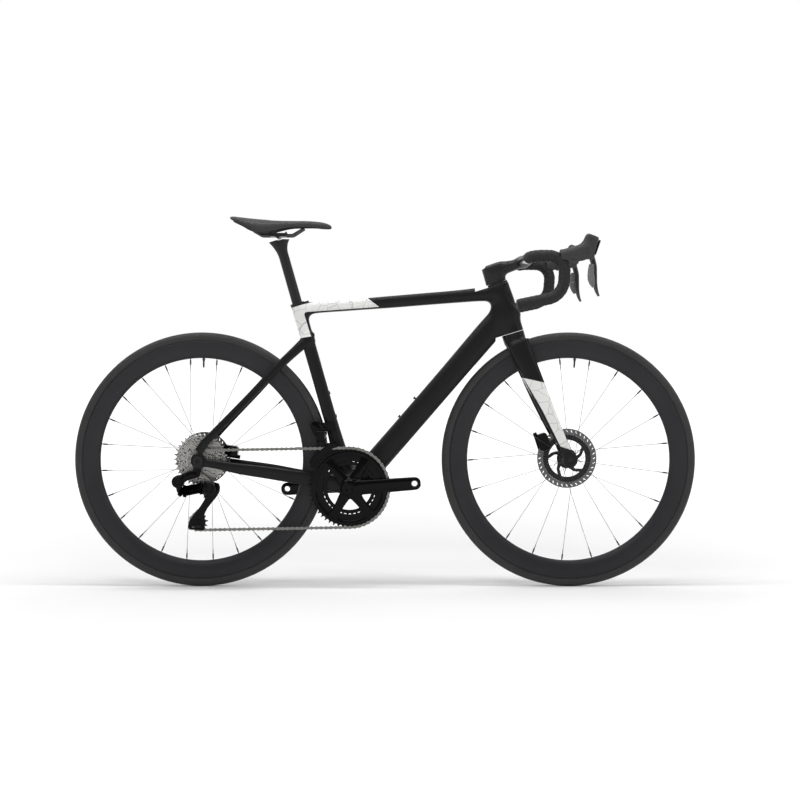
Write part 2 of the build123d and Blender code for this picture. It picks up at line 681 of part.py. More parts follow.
def main_frame():
    """Head tube, top tube, down tube, seat tube and bottom bracket shell."""
    head = strut([(head_point(0.6), 60, 50), (head_point(45), 60, 43), (head_point(HEAD_LENGTH), 56, 40)])
    top = strut([((300, 0, 776), 34, 38), ((120, 0, 766), 27, 36), ((-60, 0, 752), 26, 34),
                 ((-215, 0, 741), 32, 30)])
    down = strut([((322, 0, 717), 58, 44), ((227.6, 0, 622.8), 57, 46), ((40.4, 0, 404.9), 57, 50),
                  ((-75, 0, 275), 60, 60)])
    seat = strut([(seat_point(275), 50, 56), (seat_point(420), 33, 36), (seat_point(620), 31, 31),
                  (seat_point(749.5), 35, 31)])
    shell = disc(BRACKET_X, BRACKET_Z, -36.0, 36.0, 27.0)
    frame = head + top + down + seat + shell
    frame -= rod(head_point(-5), head_point(HEAD_LENGTH + 20), 21.0)
    frame -= disc(BRACKET_X, BRACKET_Z, -45, 45, 20.5)
    pocket = extrude(seat_section(560, RUNNING), seat_section_length(560, 775))
    frame -= pocket
    for centre, across in bottle_points():
        frame -= rod(centre - across * 20, centre + across * 20, 2.6)
    return frame


def seat_section_length(low, high):
    return (high - low) / SEAT_UP.Z


def bottle_points():
    """Bottle bosses on the two tubes, with the outward direction of each screw."""
    down = Vector(187.2, 0, 217.9).normalized()
    down_out = Vector(-down.Z, 0, down.X)
    seat_out = Vector(SEAT_UP.Z, 0, -SEAT_UP.X)
    upper, lower = Vector(79.2, 0, 502.4), Vector(38.5, 0, 453.0)
    points = [(upper, down_out), (lower, down_out)]
    for height in (512.0, 450.0):
        points.append((seat_point(height) + seat_out * 16.2, seat_out))
    return points


def bottle_screws():
    """Button-head screws in the four bottle bosses."""
    screws = []
    for centre, across in bottle_points():
        screws.append(rod(centre - across * 12, centre + across * 0.6, 2.5)
                      + rod(centre + across * 0.6, centre + across * 3.2, 4.6))
    return screws


def rear_triangle():
    """Chainstays, dropped seatstays and the two dropouts, joined behind the seat tube."""
    made = []
    for name, sign in SIDES.items():
        hollow = 4.0 if name == "right" else 0.0
        chain_stay = strut([((-112, sign * 26, 269), 44, 20), ((-165, sign * (31 - hollow / 2), 280), 40, 13),
                            ((-224, sign * (40 - hollow), 290), 34, 14), ((-303, sign * 54, 303), 32, 15),
                            ((-382, sign * 68, 318), 26, 13), ((-440, sign * 74, 327), 20, 8),
                            ((-478, sign * 74, 334), 18, 6)])
        seat_stay = strut([((-200, sign * 7.5, 665), 28, 11), ((-232, sign * 21, 636), 24, 12),
                           ((-330, sign * 43, 535), 19, 11), ((-433.7, sign * 68, 427.6), 20, 10),
                           ((-478, sign * 74, 355), 20, 6)])
        outline = Pos(REAR_X, AXLE_Z) * Circle(20)
        dropout = side_plate(outline, sign * REAR_HALF_WIDTH, sign * (REAR_HALF_WIDTH + DROPOUT))
        side = chain_stay + seat_stay + dropout
        side -= disc(REAR_X, AXLE_Z, sign * 60, sign * 90, AXLE_RADIUS + 0.02)
        inward = REAR_HALF_WIDTH if sign > 0 else -REAR_HALF_WIDTH
        side -= Pos(REAR_X, inward - sign * 10, AXLE_Z) * Box(150, 20, 40)
        made.append(side)
    stays = made[0] + made[1]
    stays += Pos(-204, 0, 661) * Rot(0, -16, 0) * Box(20, 20, 32)
    stays += Pos(-136, 0, 278) * Box(16, 56, 30)
    return stays


def frame_joined():
    """The rear triangle is trimmed where it is bonded to the front triangle."""
    front = main_frame()
    rear = rear_triangle() - front
    rear -= disc(BRACKET_X, BRACKET_Z, -60, 60, 27.05)
    rear -= Pos(REAR_X, 0, AXLE_Z) * Rot(90, 0, 0) * Cylinder(TYRE_RADIUS + 5, 38)
    return front, largest(rear)


def largest(shape):
    return max(shape.solids(), key=lambda solid: solid.volume)


def frame_bearings():
    """Headset rings and bottom bracket cups."""
    rings = []
    for low, high in ((0.8, 9.0), (HEAD_LENGTH - 9, HEAD_LENGTH - 0.2)):
        outer = rod(head_point(low), head_point(high), 20.9)
        rings.append(outer - rod(head_point(low - 1), head_point(high + 1), STEERER_RADIUS + RUNNING))
    for sign in (1, -1):
        cup = washer(BRACKET_X, BRACKET_Z, min(sign * 26, sign * 36), max(sign * 26, sign * 36), 20.4,
                     12.0 + RUNNING)
        lip = washer(BRACKET_X, BRACKET_Z, min(sign * 36.2, sign * 41.5), max(sign * 36.2, sign * 41.5), 21.5,
                     12.0 + RUNNING)
        neck = washer(BRACKET_X, BRACKET_Z, min(sign * 35, sign * 37), max(sign * 35, sign * 37), 20.4,
                      12.0 + RUNNING)
        rings.append(cup + neck + lip)
    return rings


def seat_clamp():
    """Collar on the top edge of the seat tube, round the post."""
    plane = Plane(origin=seat_point(749.8), x_dir=(SEAT_UP.Z, 0, -SEAT_UP.X), z_dir=SEAT_UP)
    collar = extrude(plane * Ellipse(19, 15), 7.0)
    collar += extrude(plane * Pos(16, 0) * Rectangle(30, 16), 5.0)
    return collar - extrude(seat_section(740, RUNNING), 40)


def seatpost():
    """Aero-section post with a flared head that cradles the rails."""
    foot = seat_section(612, 0)
    post = extrude(foot, seat_section_length(612, 912))
    outline = make_face(Polyline((-302, 922), (-311, 929.5), (-250, 929.5), (-262, 905), (-292, 905), close=True))
    outline -= Pos(*SADDLE_PIVOT) * Circle(6.9)
    return (post - Pos(SADDLE_PIVOT[0], 0, 940) * Box(90, 60, 26)) + side_plate(outline, -10, 10)


# ---------------------------------------------------------------- saddle
SADDLE_PIVOT = (-285.0, 934.5)
SADDLE_STATIONS = ((-409, 976, 14, 60), (-396, 974, 22, 112), (-375, 971, 20, 138), (-345, 968, 19, 140),
                   (-310, 966, 17, 112), (-270, 966.5, 16.5, 72), (-225, 967, 15.5, 50), (-180, 965, 15, 40),
                   (-152, 963, 11, 32), (-144.5, 961.5, 5, 18))


def saddle():
    """Padded shell: wide raised tail and slim nose."""
    sections = []
    for x, z, height, width in SADDLE_STATIONS:
        plane = Plane(origin=(x, 0, z), x_dir=(0, 1, 0), z_dir=(1, 0, 0))
        sections.append(plane * Ellipse(width / 2, height / 2))
    return loft(sections)


def saddle_rails():
    """Two rails from the tail sockets to the nose socket."""
    made = []
    for sign in (1, -1):
        points = [(-352, sign * 30, 950), (-329, sign * 22, 936.5), (-246, sign * 22, 936.5),
                  (-216, sign * 14, 955)]
        line = FilletPolyline(*points, radius=14)
        plane = Plane(origin=line @ 0, z_dir=line % 0)
        made.append(sweep(plane * Circle(3.5), path=line))
    return made


def saddle_clamp():
    """Lower cradle, upper yokes and two bolts with domed nuts."""
    made = []
    cradle = disc(*SADDLE_PIVOT, -29, 29, 6.5)
    cradle += Pos(-285, 0, 936) * Box(44, 56, 5)
    yoke = Pos(-284.5, 0, 940.6) * Box(48, 54, 3.4)
    cradle -= Pos(-284.5, 0, 950) * Box(80, 80, 22.2)
    for sign in (1, -1):
        groove = rod((-320, sign * 22, 936.5), (-250, sign * 22, 936.5), 3.52)
        cradle -= groove
        yoke -= groove
    made.append(cradle)
    made.append(yoke)
    for x in (-304.6, -264.5):
        made.append(disc(x, 944.9, -6, 6, 2.4))
    return made


# ---------------------------------------------------------------- fork and brakes
def fork():
    """Steerer, crown and two blades with dropouts."""
    steerer = rod(head_point(-10), head_point(190), STEERER_RADIUS)
    crown = strut([(head_point(0), 60, 50), (head_point(-14), 59, 57), (head_point(-25), 56, 64)])
    shape = steerer + crown
    for sign in SIDES.values():
        blade = strut([((346, sign * 24, 655), 58, 30), ((348, sign * 36, 632), 58, 24),
                       ((384, sign * 42, 560), 48, 19), ((422, sign * 49, 480), 36, 17),
                       ((452, sign * 54, 410), 31, 14), ((484, sign * 54.5, 352), 34, 9)])
        dropout = side_plate(Pos(FRONT_X, AXLE_Z) * Circle(20), sign * FRONT_HALF_WIDTH,
                             sign * (FRONT_HALF_WIDTH + DROPOUT))
        shape += blade + dropout
    shape -= disc(FRONT_X, AXLE_Z, -80, 80, AXLE_RADIUS + 0.02)
    shape -= disc(FRONT_X, AXLE_Z, -19, 19, TYRE_RADIUS + 7)
    shape -= disc(FRONT_X, AXLE_Z, -49.98, 49.98, 24)
    return shape


def headset_spacer():
    """Conical cover between the head tube and the stem."""
    low, high = head_point(HEAD_LENGTH + 0.5), head_point(HEAD_LENGTH + 5.5)
    ring = strut([(low, 55, 39), (high, 54, 38)])
    return ring - rod(head_point(120), head_point(160), STEERER_RADIUS + 0.02)


def pad_frame(brake):
    """Place of the pads: local X runs round the rotor, local Z points out from the axle."""
    out = Vector(brake["centre"][0] - brake["axle"], 0, brake["centre"][1] - AXLE_Z).normalized()
    middle = brake["radius"] - 8.8
    origin = Vector(brake["axle"] + out.X * middle, brake["rotor_y"], AXLE_Z + out.Z * middle)
    return Plane(origin=origin, x_dir=(out.Z, 0, -out.X), z_dir=(out.X, 0, out.Z))


def caliper(brake, carrier):
    """Two-piston caliper body along its stay, slotted for the rotor and the pads."""
    body = Pos(0, 1.5, 0) * fillet(Box(BRAKE_LENGTH, 31, 30).edges().filter_by(Axis.Y), 8)
    body += Pos(0, 12, -14) * Box(BRAKE_LENGTH + 12, 13, 10)
    body = Pos(brake["centre"][0], brake["rotor_y"], brake["centre"][1]) * Rot(0, brake["tilt"], 0) * body
    body -= disc(brake["axle"], AXLE_Z, brake["rotor_y"] - 1.7, brake["rotor_y"] + 1.7, brake["radius"] + 3)
    body -= disc(brake["axle"], AXLE_Z, brake["rotor_y"] - 4, brake["rotor_y"] + 4, brake["radius"] - 18)
    body -= pad_frame(brake) * Pos(0, 0, -4) * Box(25.2, 13.4, 26)
    return largest(body - carrier)


def brake_pad(brake, side):
    """Friction pad on its backing plate with the piston face behind it."""
    inner = ROTOR_THICKNESS / 2 + 0.45
    pad = Pos(0, side * (inner + 1.75), 0) * Box(24, 3.5, 12.5)
    piston = Pos(0, side * (inner + 4.0), 0) * Rot(90, 0, 0) * Cylinder(6, 1.2)
    return pad_frame(brake) * (pad + piston)


BRAKE_LENGTH = 46.0
BRAKES = {
    "front": {"axle": FRONT_X, "centre": (426.0, 384.0), "tilt": 72.0, "radius": FRONT_ROTOR_RADIUS,
              "rotor_y": FRONT_HALF_WIDTH - ROTOR_INSET},
    "rear": {"axle": REAR_X, "centre": (-421.0, 358.0), "tilt": 8.0, "radius": REAR_ROTOR_RADIUS,
             "rotor_y": REAR_HALF_WIDTH - ROTOR_INSET},
}


# ---------------------------------------------------------------- bar and levers
BAR_TOP = Vector(373, 0, 868)
HOOD_FRONT_X = 462.0


def bar_line(sign):
    """Centre line of one half of the bar: top, reach and drop."""
    points = [BAR_TOP, Vector(376, sign * 192, 871), Vector(HOOD_FRONT_X, sign * HOOD_Y, 870),
              Vector(455, sign * 207, 768), Vector(341, sign * BAR_HALF_WIDTH, 744.5)]
    return points


def bar_tube(sign, radius, first):
    """Round tube along the bar; first trims the run nearest the stem."""
    points = bar_line(sign)
    points[0] = Vector(BAR_TOP.X, sign * first, BAR_TOP.Z)
    line = FilletPolyline(*points, radius=[38, 40, 52])
    plane = Plane(origin=line @ 0, z_dir=line % 0)
    return sweep(plane * Circle(radius), path=line)


def cockpit():
    """One-piece stem and bar with flattened tops."""
    stem = strut([(head_point(HEAD_LENGTH + 6), 54, 38), (head_point(165), 54, 38), (head_point(190), 50, 34)])
    reach = strut([((290, 0, 846), 50, 40), ((330, 0, 857), 42, 42), ((366, 0, 867), 30, 60)])
    shape = stem + reach
    for sign in SIDES.values():
        tops = [((BAR_TOP.X, sign * y, BAR_TOP.Z), depth, height) for y, depth, height in
                ((0, 36, 26), (60, 38, 22), (130, 34, 23), (160, 27, 25))]
        sections = []
        for point, depth, height in tops:
            plane = Plane(origin=point, x_dir=(1, 0, 0), z_dir=(0, sign, 0))
            sections.append(plane * Ellipse(depth / 2, height / 2))
        shape += loft(sections)
        shape += bar_tube(sign, BAR_RADIUS, 120)
    return shape - rod(head_point(120), head_point(191), STEERER_RADIUS + 0.02)


TAPE_START = 168.0


def bar_tape():
    """Tape round each half of the bar, and a plug in each end."""
    made = []
    for sign in SIDES.values():
        tape = bar_tube(sign, TAPE_RADIUS, 120) - bar_tube(sign, BAR_RADIUS + 0.02, 120)
        inner = Pos(BAR_TOP.X, sign * 84, BAR_TOP.Z) * Box(90, 168, 90)
        made.append(largest(tape - inner))
        tip = Vector(341, sign * BAR_HALF_WIDTH, 744.5)
        made.append(rod(tip - Vector(0.1, 0, 0), tip - Vector(4, 0, 0), 14.5))
    return made


def hood(side):
    """Rubber-covered lever body with its raised horn."""
    y = SIDES[side] * HOOD_Y
    body = strut([((452, y, 866), 36, 34), ((480, y, 872), 38, 33), ((505, y, 884), 46, 31),
                  ((526, y, 899), 44, 27), ((531, y, 917), 34, 21)])
    body += strut([((470, y, 868), 30, 30), ((505, y, 868), 32, 28), ((527, y, 869), 20, 22)])
    body -= bar_tube(SIDES[side], TAPE_RADIUS + 0.1, 120)
    for sign in (1, -1):
        body -= Pos(524, y, 868) * Box(26, 15.2, 28)
    body = largest(body)
    return body + disc(LEVER_PIVOT[0], LEVER_PIVOT[1], y - 9.5, y + 9.5, 2.0)


LEVER_PIVOT = (524.0, 869.0)
BUTTON_PINS = ((529.5, 838.0), (530.5, 806.0))


def lever(side):
    """Brake lever: eye on the hood pin and a curved blade."""
    y = SIDES[side] * HOOD_Y
    x, z = LEVER_PIVOT
    eye = disc(x, z, y - 7.0, y + 7.0, 7.0)
    blade = strut([((x + 2, y, z - 2), 14, 13.5), ((x + 9, y, 845), 14, 13), ((x + 11, y, 815), 12, 12),
                   ((x + 11, y, 790), 11, 12), ((x + 19, y, 766), 8, 11)])
    shape = eye + blade - disc(x, z, y - 20, y + 20, 2.0 + RUNNING)
    for px, pz in BUTTON_PINS:
        shape -= disc(px, pz, y, y + SIDES[side] * 20, 1.7)
    return shape


def shift_button(side, high):
    """Paddle on the outer side of the lever blade."""
    sign = SIDES[side]
    y = sign * (HOOD_Y + 9.5)
    px, pz = BUTTON_PINS[0 if high else 1]
    guide = disc(px, pz, y, y - sign * 6, 1.5)
    if high:
        outline = make_face(Polyline((521, 848), (533, 848), (533, 824), (517, 822), close=True))
    else:
        outline = make_face(Polyline((517, 820), (533, 822), (534, 792), (524, 790), close=True))
    return side_plate(outline, y - 1.5, y + 1.5) + guide


# ---------------------------------------------------------------- writing the nodes
def nodes():
    """Every node, by name."""
    front_frame, rear_frame = frame_joined()
    fork_shape = fork()
    made = {
        "main_frame": front_frame,
        "rear_triangle": rear_frame,
        "derailleur_hanger": derailleur_hanger(),
        "seat_clamp": largest(seat_clamp() - front_frame),
        "frame_bearings": frame_bearings(),
        "bottle_screws": bottle_screws(),
        "rear_thru_axle": axle_set(REAR_X, REAR_HALF_WIDTH, 12.0, 0.4),
        "rear_caliper": caliper(BRAKES["rear"], rear_frame),
        "rd_b_knuckle": rd_b_knuckle(),
        "fd_body": fd_body(front_frame),
        "chain": chain(),
        "fork": fork_shape,
        "cockpit": cockpit(),
        "bar_tape": bar_tape(),
        "headset_spacer": headset_spacer(),
        "front_caliper": caliper(BRAKES["front"], fork_shape),
        "front_thru_axle": axle_set(FRONT_X, FRONT_HALF_WIDTH, 9.0, 0.4),
        "front_tyre": tyre(FRONT_X),
        "front_rim": rim(FRONT_X, 90 - 3.7),
        "front_spokes": front_spokes(),
        "front_hub": front_hub(),
        "front_rotor": rotor(FRONT_X, BRAKES["front"]["rotor_y"], FRONT_ROTOR_RADIUS, 50),
        "front_valve": valve(FRONT_X, 90 - 3.7),
        "rear_tyre": tyre(REAR_X),
        "rear_rim": rim(REAR_X, 90 - 1.1),
        "rear_spokes": rear_spokes(),
        "rear_hub": rear_hub(),
        "rear_rotor": rotor(REAR_X, BRAKES["rear"]["rotor_y"], REAR_ROTOR_RADIUS, 40),
        "rear_valve": valve(REAR_X, 90 - 1.1),
        "cassette_cogs": cogs(),
        "cassette_freehub": freehub(),
        "crank_right": crank_right(),
        "crank_left": crank_left(),
        "chainring_outer": chainring(RING_TEETH, PHASES["ring"], RING_Y, 3.6, 86, 55),
        "chainring_inner": chainring(SMALL_RING_TEETH, PHASES["ring"], SMALL_RING_Y, 1.0, 62, 55),
        "chainring_bolts": chainring_bolts(),
        "rd_outer_link": link_bar(B_OUTER, P_OUTER, 17.0, 8.0, RUNNING),
        "rd_inner_link": link_bar(B_INNER, P_INNER, 17.0, 8.0, 0.4),
        "rd_p_knuckle": rd_p_knuckle(),
        "rd_cage": rd_cage(),
        "guide_pulley": pulley(*GUIDE, PHASES["guide"]),
        "tension_pulley": pulley(*TENSION, PHASES["tension"]),
        "fd_link": fd_link(),
        "fd_cage": fd_cage(),
        "seatpost": seatpost(),
        "saddle": saddle(),
        "saddle_rails": saddle_rails(),
        "saddle_clamp": saddle_clamp(),
    }
    for side in SIDES:
        made[f"hood_{side}"] = hood(side)
        made[f"lever_{side}"] = lever(side)
        made[f"shift_up_{side}"] = shift_button(side, True)
        made[f"shift_down_{side}"] = shift_button(side, False)
    for end, brake in BRAKES.items():
        made[f"{end}_pad_outer"] = brake_pad(brake, 1)
        made[f"{end}_pad_inner"] = brake_pad(brake, -1)
    return made


def main():
    os.makedirs("parts", exist_ok=True)
    for name, shape in nodes().items():
        solids = []
        for piece in shape if isinstance(shape, list) else [shape]:
            solids += piece.solids()
        export_step(Compound(children=solids), f"parts/{name}.step")


main()
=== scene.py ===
"""Looks of a road bicycle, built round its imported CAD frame.

Lengths in the shape code are millimetres in the row's frame; MM turns them into metres.
"""
import json
import math

import bpy
import numpy as np
import openvdb
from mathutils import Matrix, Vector


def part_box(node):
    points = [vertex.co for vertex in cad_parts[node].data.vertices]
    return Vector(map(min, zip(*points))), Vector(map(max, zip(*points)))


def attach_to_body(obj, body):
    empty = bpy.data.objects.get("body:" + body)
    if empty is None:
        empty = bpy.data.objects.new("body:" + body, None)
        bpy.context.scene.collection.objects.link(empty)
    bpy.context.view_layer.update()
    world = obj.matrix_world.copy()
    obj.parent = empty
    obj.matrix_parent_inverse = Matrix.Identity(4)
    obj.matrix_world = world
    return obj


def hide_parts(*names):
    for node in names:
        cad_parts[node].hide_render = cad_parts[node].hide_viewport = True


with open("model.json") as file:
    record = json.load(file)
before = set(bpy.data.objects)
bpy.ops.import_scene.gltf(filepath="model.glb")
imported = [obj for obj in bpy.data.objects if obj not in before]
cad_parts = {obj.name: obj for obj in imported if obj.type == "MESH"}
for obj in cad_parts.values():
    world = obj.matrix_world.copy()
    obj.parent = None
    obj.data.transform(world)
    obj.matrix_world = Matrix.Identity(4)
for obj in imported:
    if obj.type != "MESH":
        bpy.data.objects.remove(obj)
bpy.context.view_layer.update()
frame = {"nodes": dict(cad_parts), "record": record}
MM = 0.001
JOINTS = {joint["name"]: joint for joint in frame["record"]["behaviour"]["joints"]}


def joint_at(name):
    """A joint's place in the row frame, in millimetres."""
    return np.array(JOINTS[name]["pos_m"]) / MM


def joint_axis(name):
    return np.array(JOINTS[name]["axis"])


HEAD = joint_at("steering")
HEAD_UP = joint_axis("steering")
HEAD_FORE = np.array([HEAD_UP[2], 0.0, -HEAD_UP[0]])
SEAT_UP = joint_axis("seatpost_height")
FRONT = joint_at("front_wheel_spin")
SEAT_TOP = np.array([-233.1, 0.0, 749.6])
REAR = joint_at("rear_wheel_spin")
CRANK = joint_at("crank_spin")
LEVER = joint_at("brake_lever_left")
TYRE_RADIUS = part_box("front_tyre")[1][2] / MM / 2
RIM_OUTER = (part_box("front_rim")[1][2] - FRONT[2] * MM) / MM


# ---------------------------------------------------------------- distance fields
def smooth_rows(at, rows):
    """Cubic interpolation of table rows; the first column is the position."""
    rows = np.asarray(rows, dtype=float)
    knots, values = rows[:, 0], rows[:, 1:]
    slopes = np.empty_like(values)
    steps = np.diff(knots)[:, None]
    chords = np.diff(values, axis=0) / steps
    slopes[0], slopes[-1] = chords[0], chords[-1]
    both = chords[:-1] * chords[1:]
    mean = (chords[:-1] * steps[1:] + chords[1:] * steps[:-1]) / (steps[:-1] + steps[1:])
    limit = 3 * np.minimum(np.abs(chords[:-1]), np.abs(chords[1:]))
    slopes[1:-1] = np.where(both > 0, np.clip(mean, -limit, limit), 0)
    at = np.clip(at, knots[0], knots[-1])
    span = np.clip(np.searchsorted(knots, at) - 1, 0, len(knots) - 2)
    width = (knots[span + 1] - knots[span])[:, None]
    t = (at - knots[span])[:, None] / width
    a, b = values[span], values[span + 1]
    m, n = slopes[span] * width, slopes[span + 1] * width
    return (2 * t**3 - 3 * t**2 + 1) * a + (t**3 - 2 * t**2 + t) * m + (3 * t**2 - 2 * t**3) * b + (t**3 - t**2) * n


def capped(side, end):
    """A side distance cut off by an end distance, square at the corner."""
    outside = np.hypot(np.maximum(side, 0), np.maximum(end, 0))
    return np.where((side > 0) & (end > 0), outside, np.maximum(side, end))


def oval(u, v, half_u, half_v, power):
    """Distance to a superellipse, near its edge."""
    size = (np.abs(u / half_u) ** power + np.abs(v / half_v) ** power) ** (1 / power)
    size = np.maximum(size, 1e-3)
    return np.hypot(u, v) * (1 - 1 / size)


def beam(start, end, rows, both_sides=False):
    """Tube between two side-view points. Rows: (fraction, rise, y, half depth, half width, power)."""
    start, end = np.asarray(start, float), np.asarray(end, float)
    length = math.hypot(*(end - start))
    along = (end - start) / length
    up = np.array([-along[1], along[0]])

    def distance(points):
        x, z = points[:, 0] - start[0], points[:, 2] - start[1]
        s = x * along[0] + z * along[1]
        row = smooth_rows(s / length, rows)
        u = x * up[0] + z * up[1] - row[:, 0]
        y = np.abs(points[:, 1]) if both_sides else points[:, 1]
        side = oval(u, y - row[:, 1], row[:, 2], row[:, 3], row[:, 4])
        return capped(side, np.maximum(-s, s - length))

    return distance


def sweep(path, rows, up=(0, 1, 0)):
    """Tube along a 3-D path. Rows: (fraction, half size across, half size along up, power)."""
    path = np.asarray(path, float)
    steps = np.diff(path, axis=0)
    lengths = np.linalg.norm(steps, axis=1)
    travelled = np.concatenate([[0], np.cumsum(lengths)])
    up = np.asarray(up, float)

    def distance(points):
        best = np.full(len(points), 1e9)
        section = np.zeros((len(points), 3))
        for index, (origin, step, length) in enumerate(zip(path[:-1], steps, lengths)):
            way = step / length
            off = points - origin
            s = off @ way
            inside = np.clip(s, 0, length)
            gap = np.linalg.norm(off - inside[:, None] * way, axis=1)
            nearer = gap < best
            across = np.cross(way, up)
            across /= np.linalg.norm(across)
            rise = np.cross(across, way)
            beyond = np.zeros(len(points))
            if index == 0:
                beyond = np.maximum(beyond, -s)
            if index == len(lengths) - 1:
                beyond = np.maximum(beyond, s - length)
            best = np.where(nearer, gap, best)
            local = np.stack([off @ across, off @ rise, (travelled[index] + inside) / travelled[-1]], axis=1)
            section[nearer] = local[nearer]
            if index == 0:
                ends = np.where(nearer, beyond, -1e9)
            else:
                ends = np.where(nearer, beyond, ends)
        row = smooth_rows(section[:, 2], rows)
        side = oval(section[:, 0], section[:, 1], row[:, 0], row[:, 1], row[:, 2])
        return np.where(ends > 0, capped(side, ends), side)

    return distance


def curve_through(points, count=12):
    """Smooth path through a few points."""
    points = np.asarray(points, float)
    knots = np.arange(len(points))
    at = np.linspace(0, len(points) - 1, (len(points) - 1) * count + 1)
    padded = np.vstack([2 * points[0] - points[1], points, 2 * points[-1] - points[-2]])
    span = np.minimum(at.astype(int), len(points) - 2)
    t = (at - knots[span])[:, None]
    a, b, c, d = (padded[span + k] for k in range(4))
    return 0.5 * (2 * b + (c - a) * t + (2 * a - 5 * b + 4 * c - d) * t**2 + (3 * b - a - 3 * c + d) * t**3)


def drum(centre, axis, radius, half_length, edge=0.0):
    """Cylinder with rounded edges."""
    centre, axis = np.asarray(centre, float), np.asarray(axis, float)
    axis = axis / np.linalg.norm(axis)

    def distance(points):
        off = points - centre
        s = off @ axis
        r = np.linalg.norm(off - s[:, None] * axis, axis=1)
        return capped(r - radius + edge, np.abs(s) - half_length + edge) - edge

    return distance


def ball(centre, radii):
    """Ellipsoid."""
    centre, radii = np.asarray(centre, float), np.asarray(radii, float)

    def distance(points):
        off = (points - centre) / radii
        size = np.maximum(np.linalg.norm(off, axis=1), 1e-3)
        return np.linalg.norm(points - centre, axis=1) * (1 - 1 / size)

    return distance


def block(centre, half, edge=1.0, turn=0.0):
    """Box with rounded edges, turned in the side view by an angle in degrees."""
    centre, half = np.asarray(centre, float), np.asarray(half, float) - edge
    c, s = math.cos(math.radians(turn)), math.sin(math.radians(turn))

    def distance(points):
        off = points - centre
        local = np.stack([off[:, 0] * c + off[:, 2] * s, off[:, 1], off[:, 2] * c - off[:, 0] * s], axis=1)
        q = np.abs(local) - half
        return np.linalg.norm(np.maximum(q, 0), axis=1) + np.minimum(q.max(axis=1), 0) - edge

    return distance


def slab(point, normal):
    """Everything behind a plane."""
    point, normal = np.asarray(point, float), np.asarray(normal, float)
    normal = normal / np.linalg.norm(normal)
    return lambda points: (points - point) @ normal


def plate(outline, y, half, edge=0.5):
    """Side-view polygon with thickness along Y and rounded edges."""
    outline = np.asarray(outline, float)
    after = np.roll(outline, -1, axis=0)

    def distance(points):
        flat = points[:, [0, 2]]
        best = np.full(len(flat), 1e9)
        inside = np.zeros(len(flat), bool)
        for a, b in zip(outline, after):
            way = b - a
            off = flat - a
            t = np.clip(off @ way / (way @ way), 0, 1)
            best = np.minimum(best, np.linalg.norm(off - t[:, None] * way, axis=1))
            crosses = (a[1] > flat[:, 1]) != (b[1] > flat[:, 1])
            rise = way[1] if way[1] else 1e-9
            inside ^= crosses & (flat[:, 0] < a[0] + (flat[:, 1] - a[1]) * way[0] / rise)
        side = np.where(inside, -best, best)
        return capped(side + edge, np.abs(points[:, 1] - y) - half + edge) - edge

    return distance


def union(*shapes, blend=0.0):
    """Shapes joined, with a fillet of about the blend radius."""
    def distance(points):
        total = shapes[0](points)
        for shape in shapes[1:]:
            other = shape(points)
            if blend:
                h = np.clip(0.5 + 0.5 * (other - total) / blend, 0, 1)
                total = other + (total - other) * h - blend * h * (1 - h)
            else:
                total = np.minimum(total, other)
        return total

    return distance


def cut(shape, *tools, blend=0.5):
    """A shape less the tools, with eased edges."""
    def distance(points):
        total = shape(points)
        for tool in tools:
            other = -tool(points)
            h = np.clip(0.5 - 0.5 * (other - total) / blend, 0, 1)
            total = other + (total - other) * h + blend * h * (1 - h)
        return total

    return distance


def mirror_y(shape):
    """The same shape on both sides."""
    return lambda points: shape(points * np.array([1, 0, 1]) + np.abs(points) * np.array([0, 1, 0]))


def skin(name, shape, low, high, voxel):
    """Mesh of a distance field inside a box, in millimetres."""
    low, high = np.asarray(low, float), np.asarray(high, float)
    rough = voxel * 4
    coarse_count = np.ceil((high - low) / rough).astype(int) + 1
    axes = [low[k] + rough * (np.arange(coarse_count[k]) + 0.5) for k in range(3)]
    centres = np.stack(np.meshgrid(*axes, indexing="ij"), axis=-1).reshape(-1, 3)
    coarse = evaluate(shape, centres).reshape(coarse_count)
    near = np.abs(coarse) < rough * 1.5
    values = np.repeat(np.repeat(np.repeat(np.sign(coarse), 4, 0), 4, 1), 4, 2).astype(np.float32) * 3 * voxel
    blocks = np.argwhere(near)
    offsets = np.stack(np.meshgrid(*[np.arange(4)] * 3, indexing="ij"), axis=-1).reshape(-1, 3)
    cells = (blocks[:, None, :] * 4 + offsets[None]).reshape(-1, 3)
    points = low + (cells + 0.5) * voxel
    values[cells[:, 0], cells[:, 1], cells[:, 2]] = np.clip(evaluate(shape, points), -3 * voxel, 3 * voxel)
    grid = openvdb.FloatGrid()
    grid.background = 3 * voxel
    grid.copyFromArray(values)
    verts, tris, quads = grid.convertToPolygons(isovalue=0.0, adaptivity=0.0)
    verts = low + (verts.astype(float) + 0.5) * voxel
    for _ in range(2):
        verts = settle(shape, verts, voxel)
    return mesh_object(name, verts * MM, [list(q)[::-1] for q in quads] + [list(t)[::-1] for t in tris])


def evaluate(shape, points, batch=400000):
    return np.concatenate([shape(points[k:k + batch]) for k in range(0, len(points), batch)])


def settle(shape, verts, voxel):
    """Moves the vertices on to the surface along the field's gradient."""
    step = voxel * 0.25
    value = evaluate(shape, verts)
    gradient = np.stack([evaluate(shape, verts + step * np.eye(3)[k]) - value for k in range(3)], axis=1) / step
    size = np.maximum((gradient**2).sum(axis=1), 0.1)
    move = gradient * (value / size)[:, None]
    limit = np.maximum(np.linalg.norm(move, axis=1) / (voxel * 0.7), 1)
    return verts - move / limit[:, None]


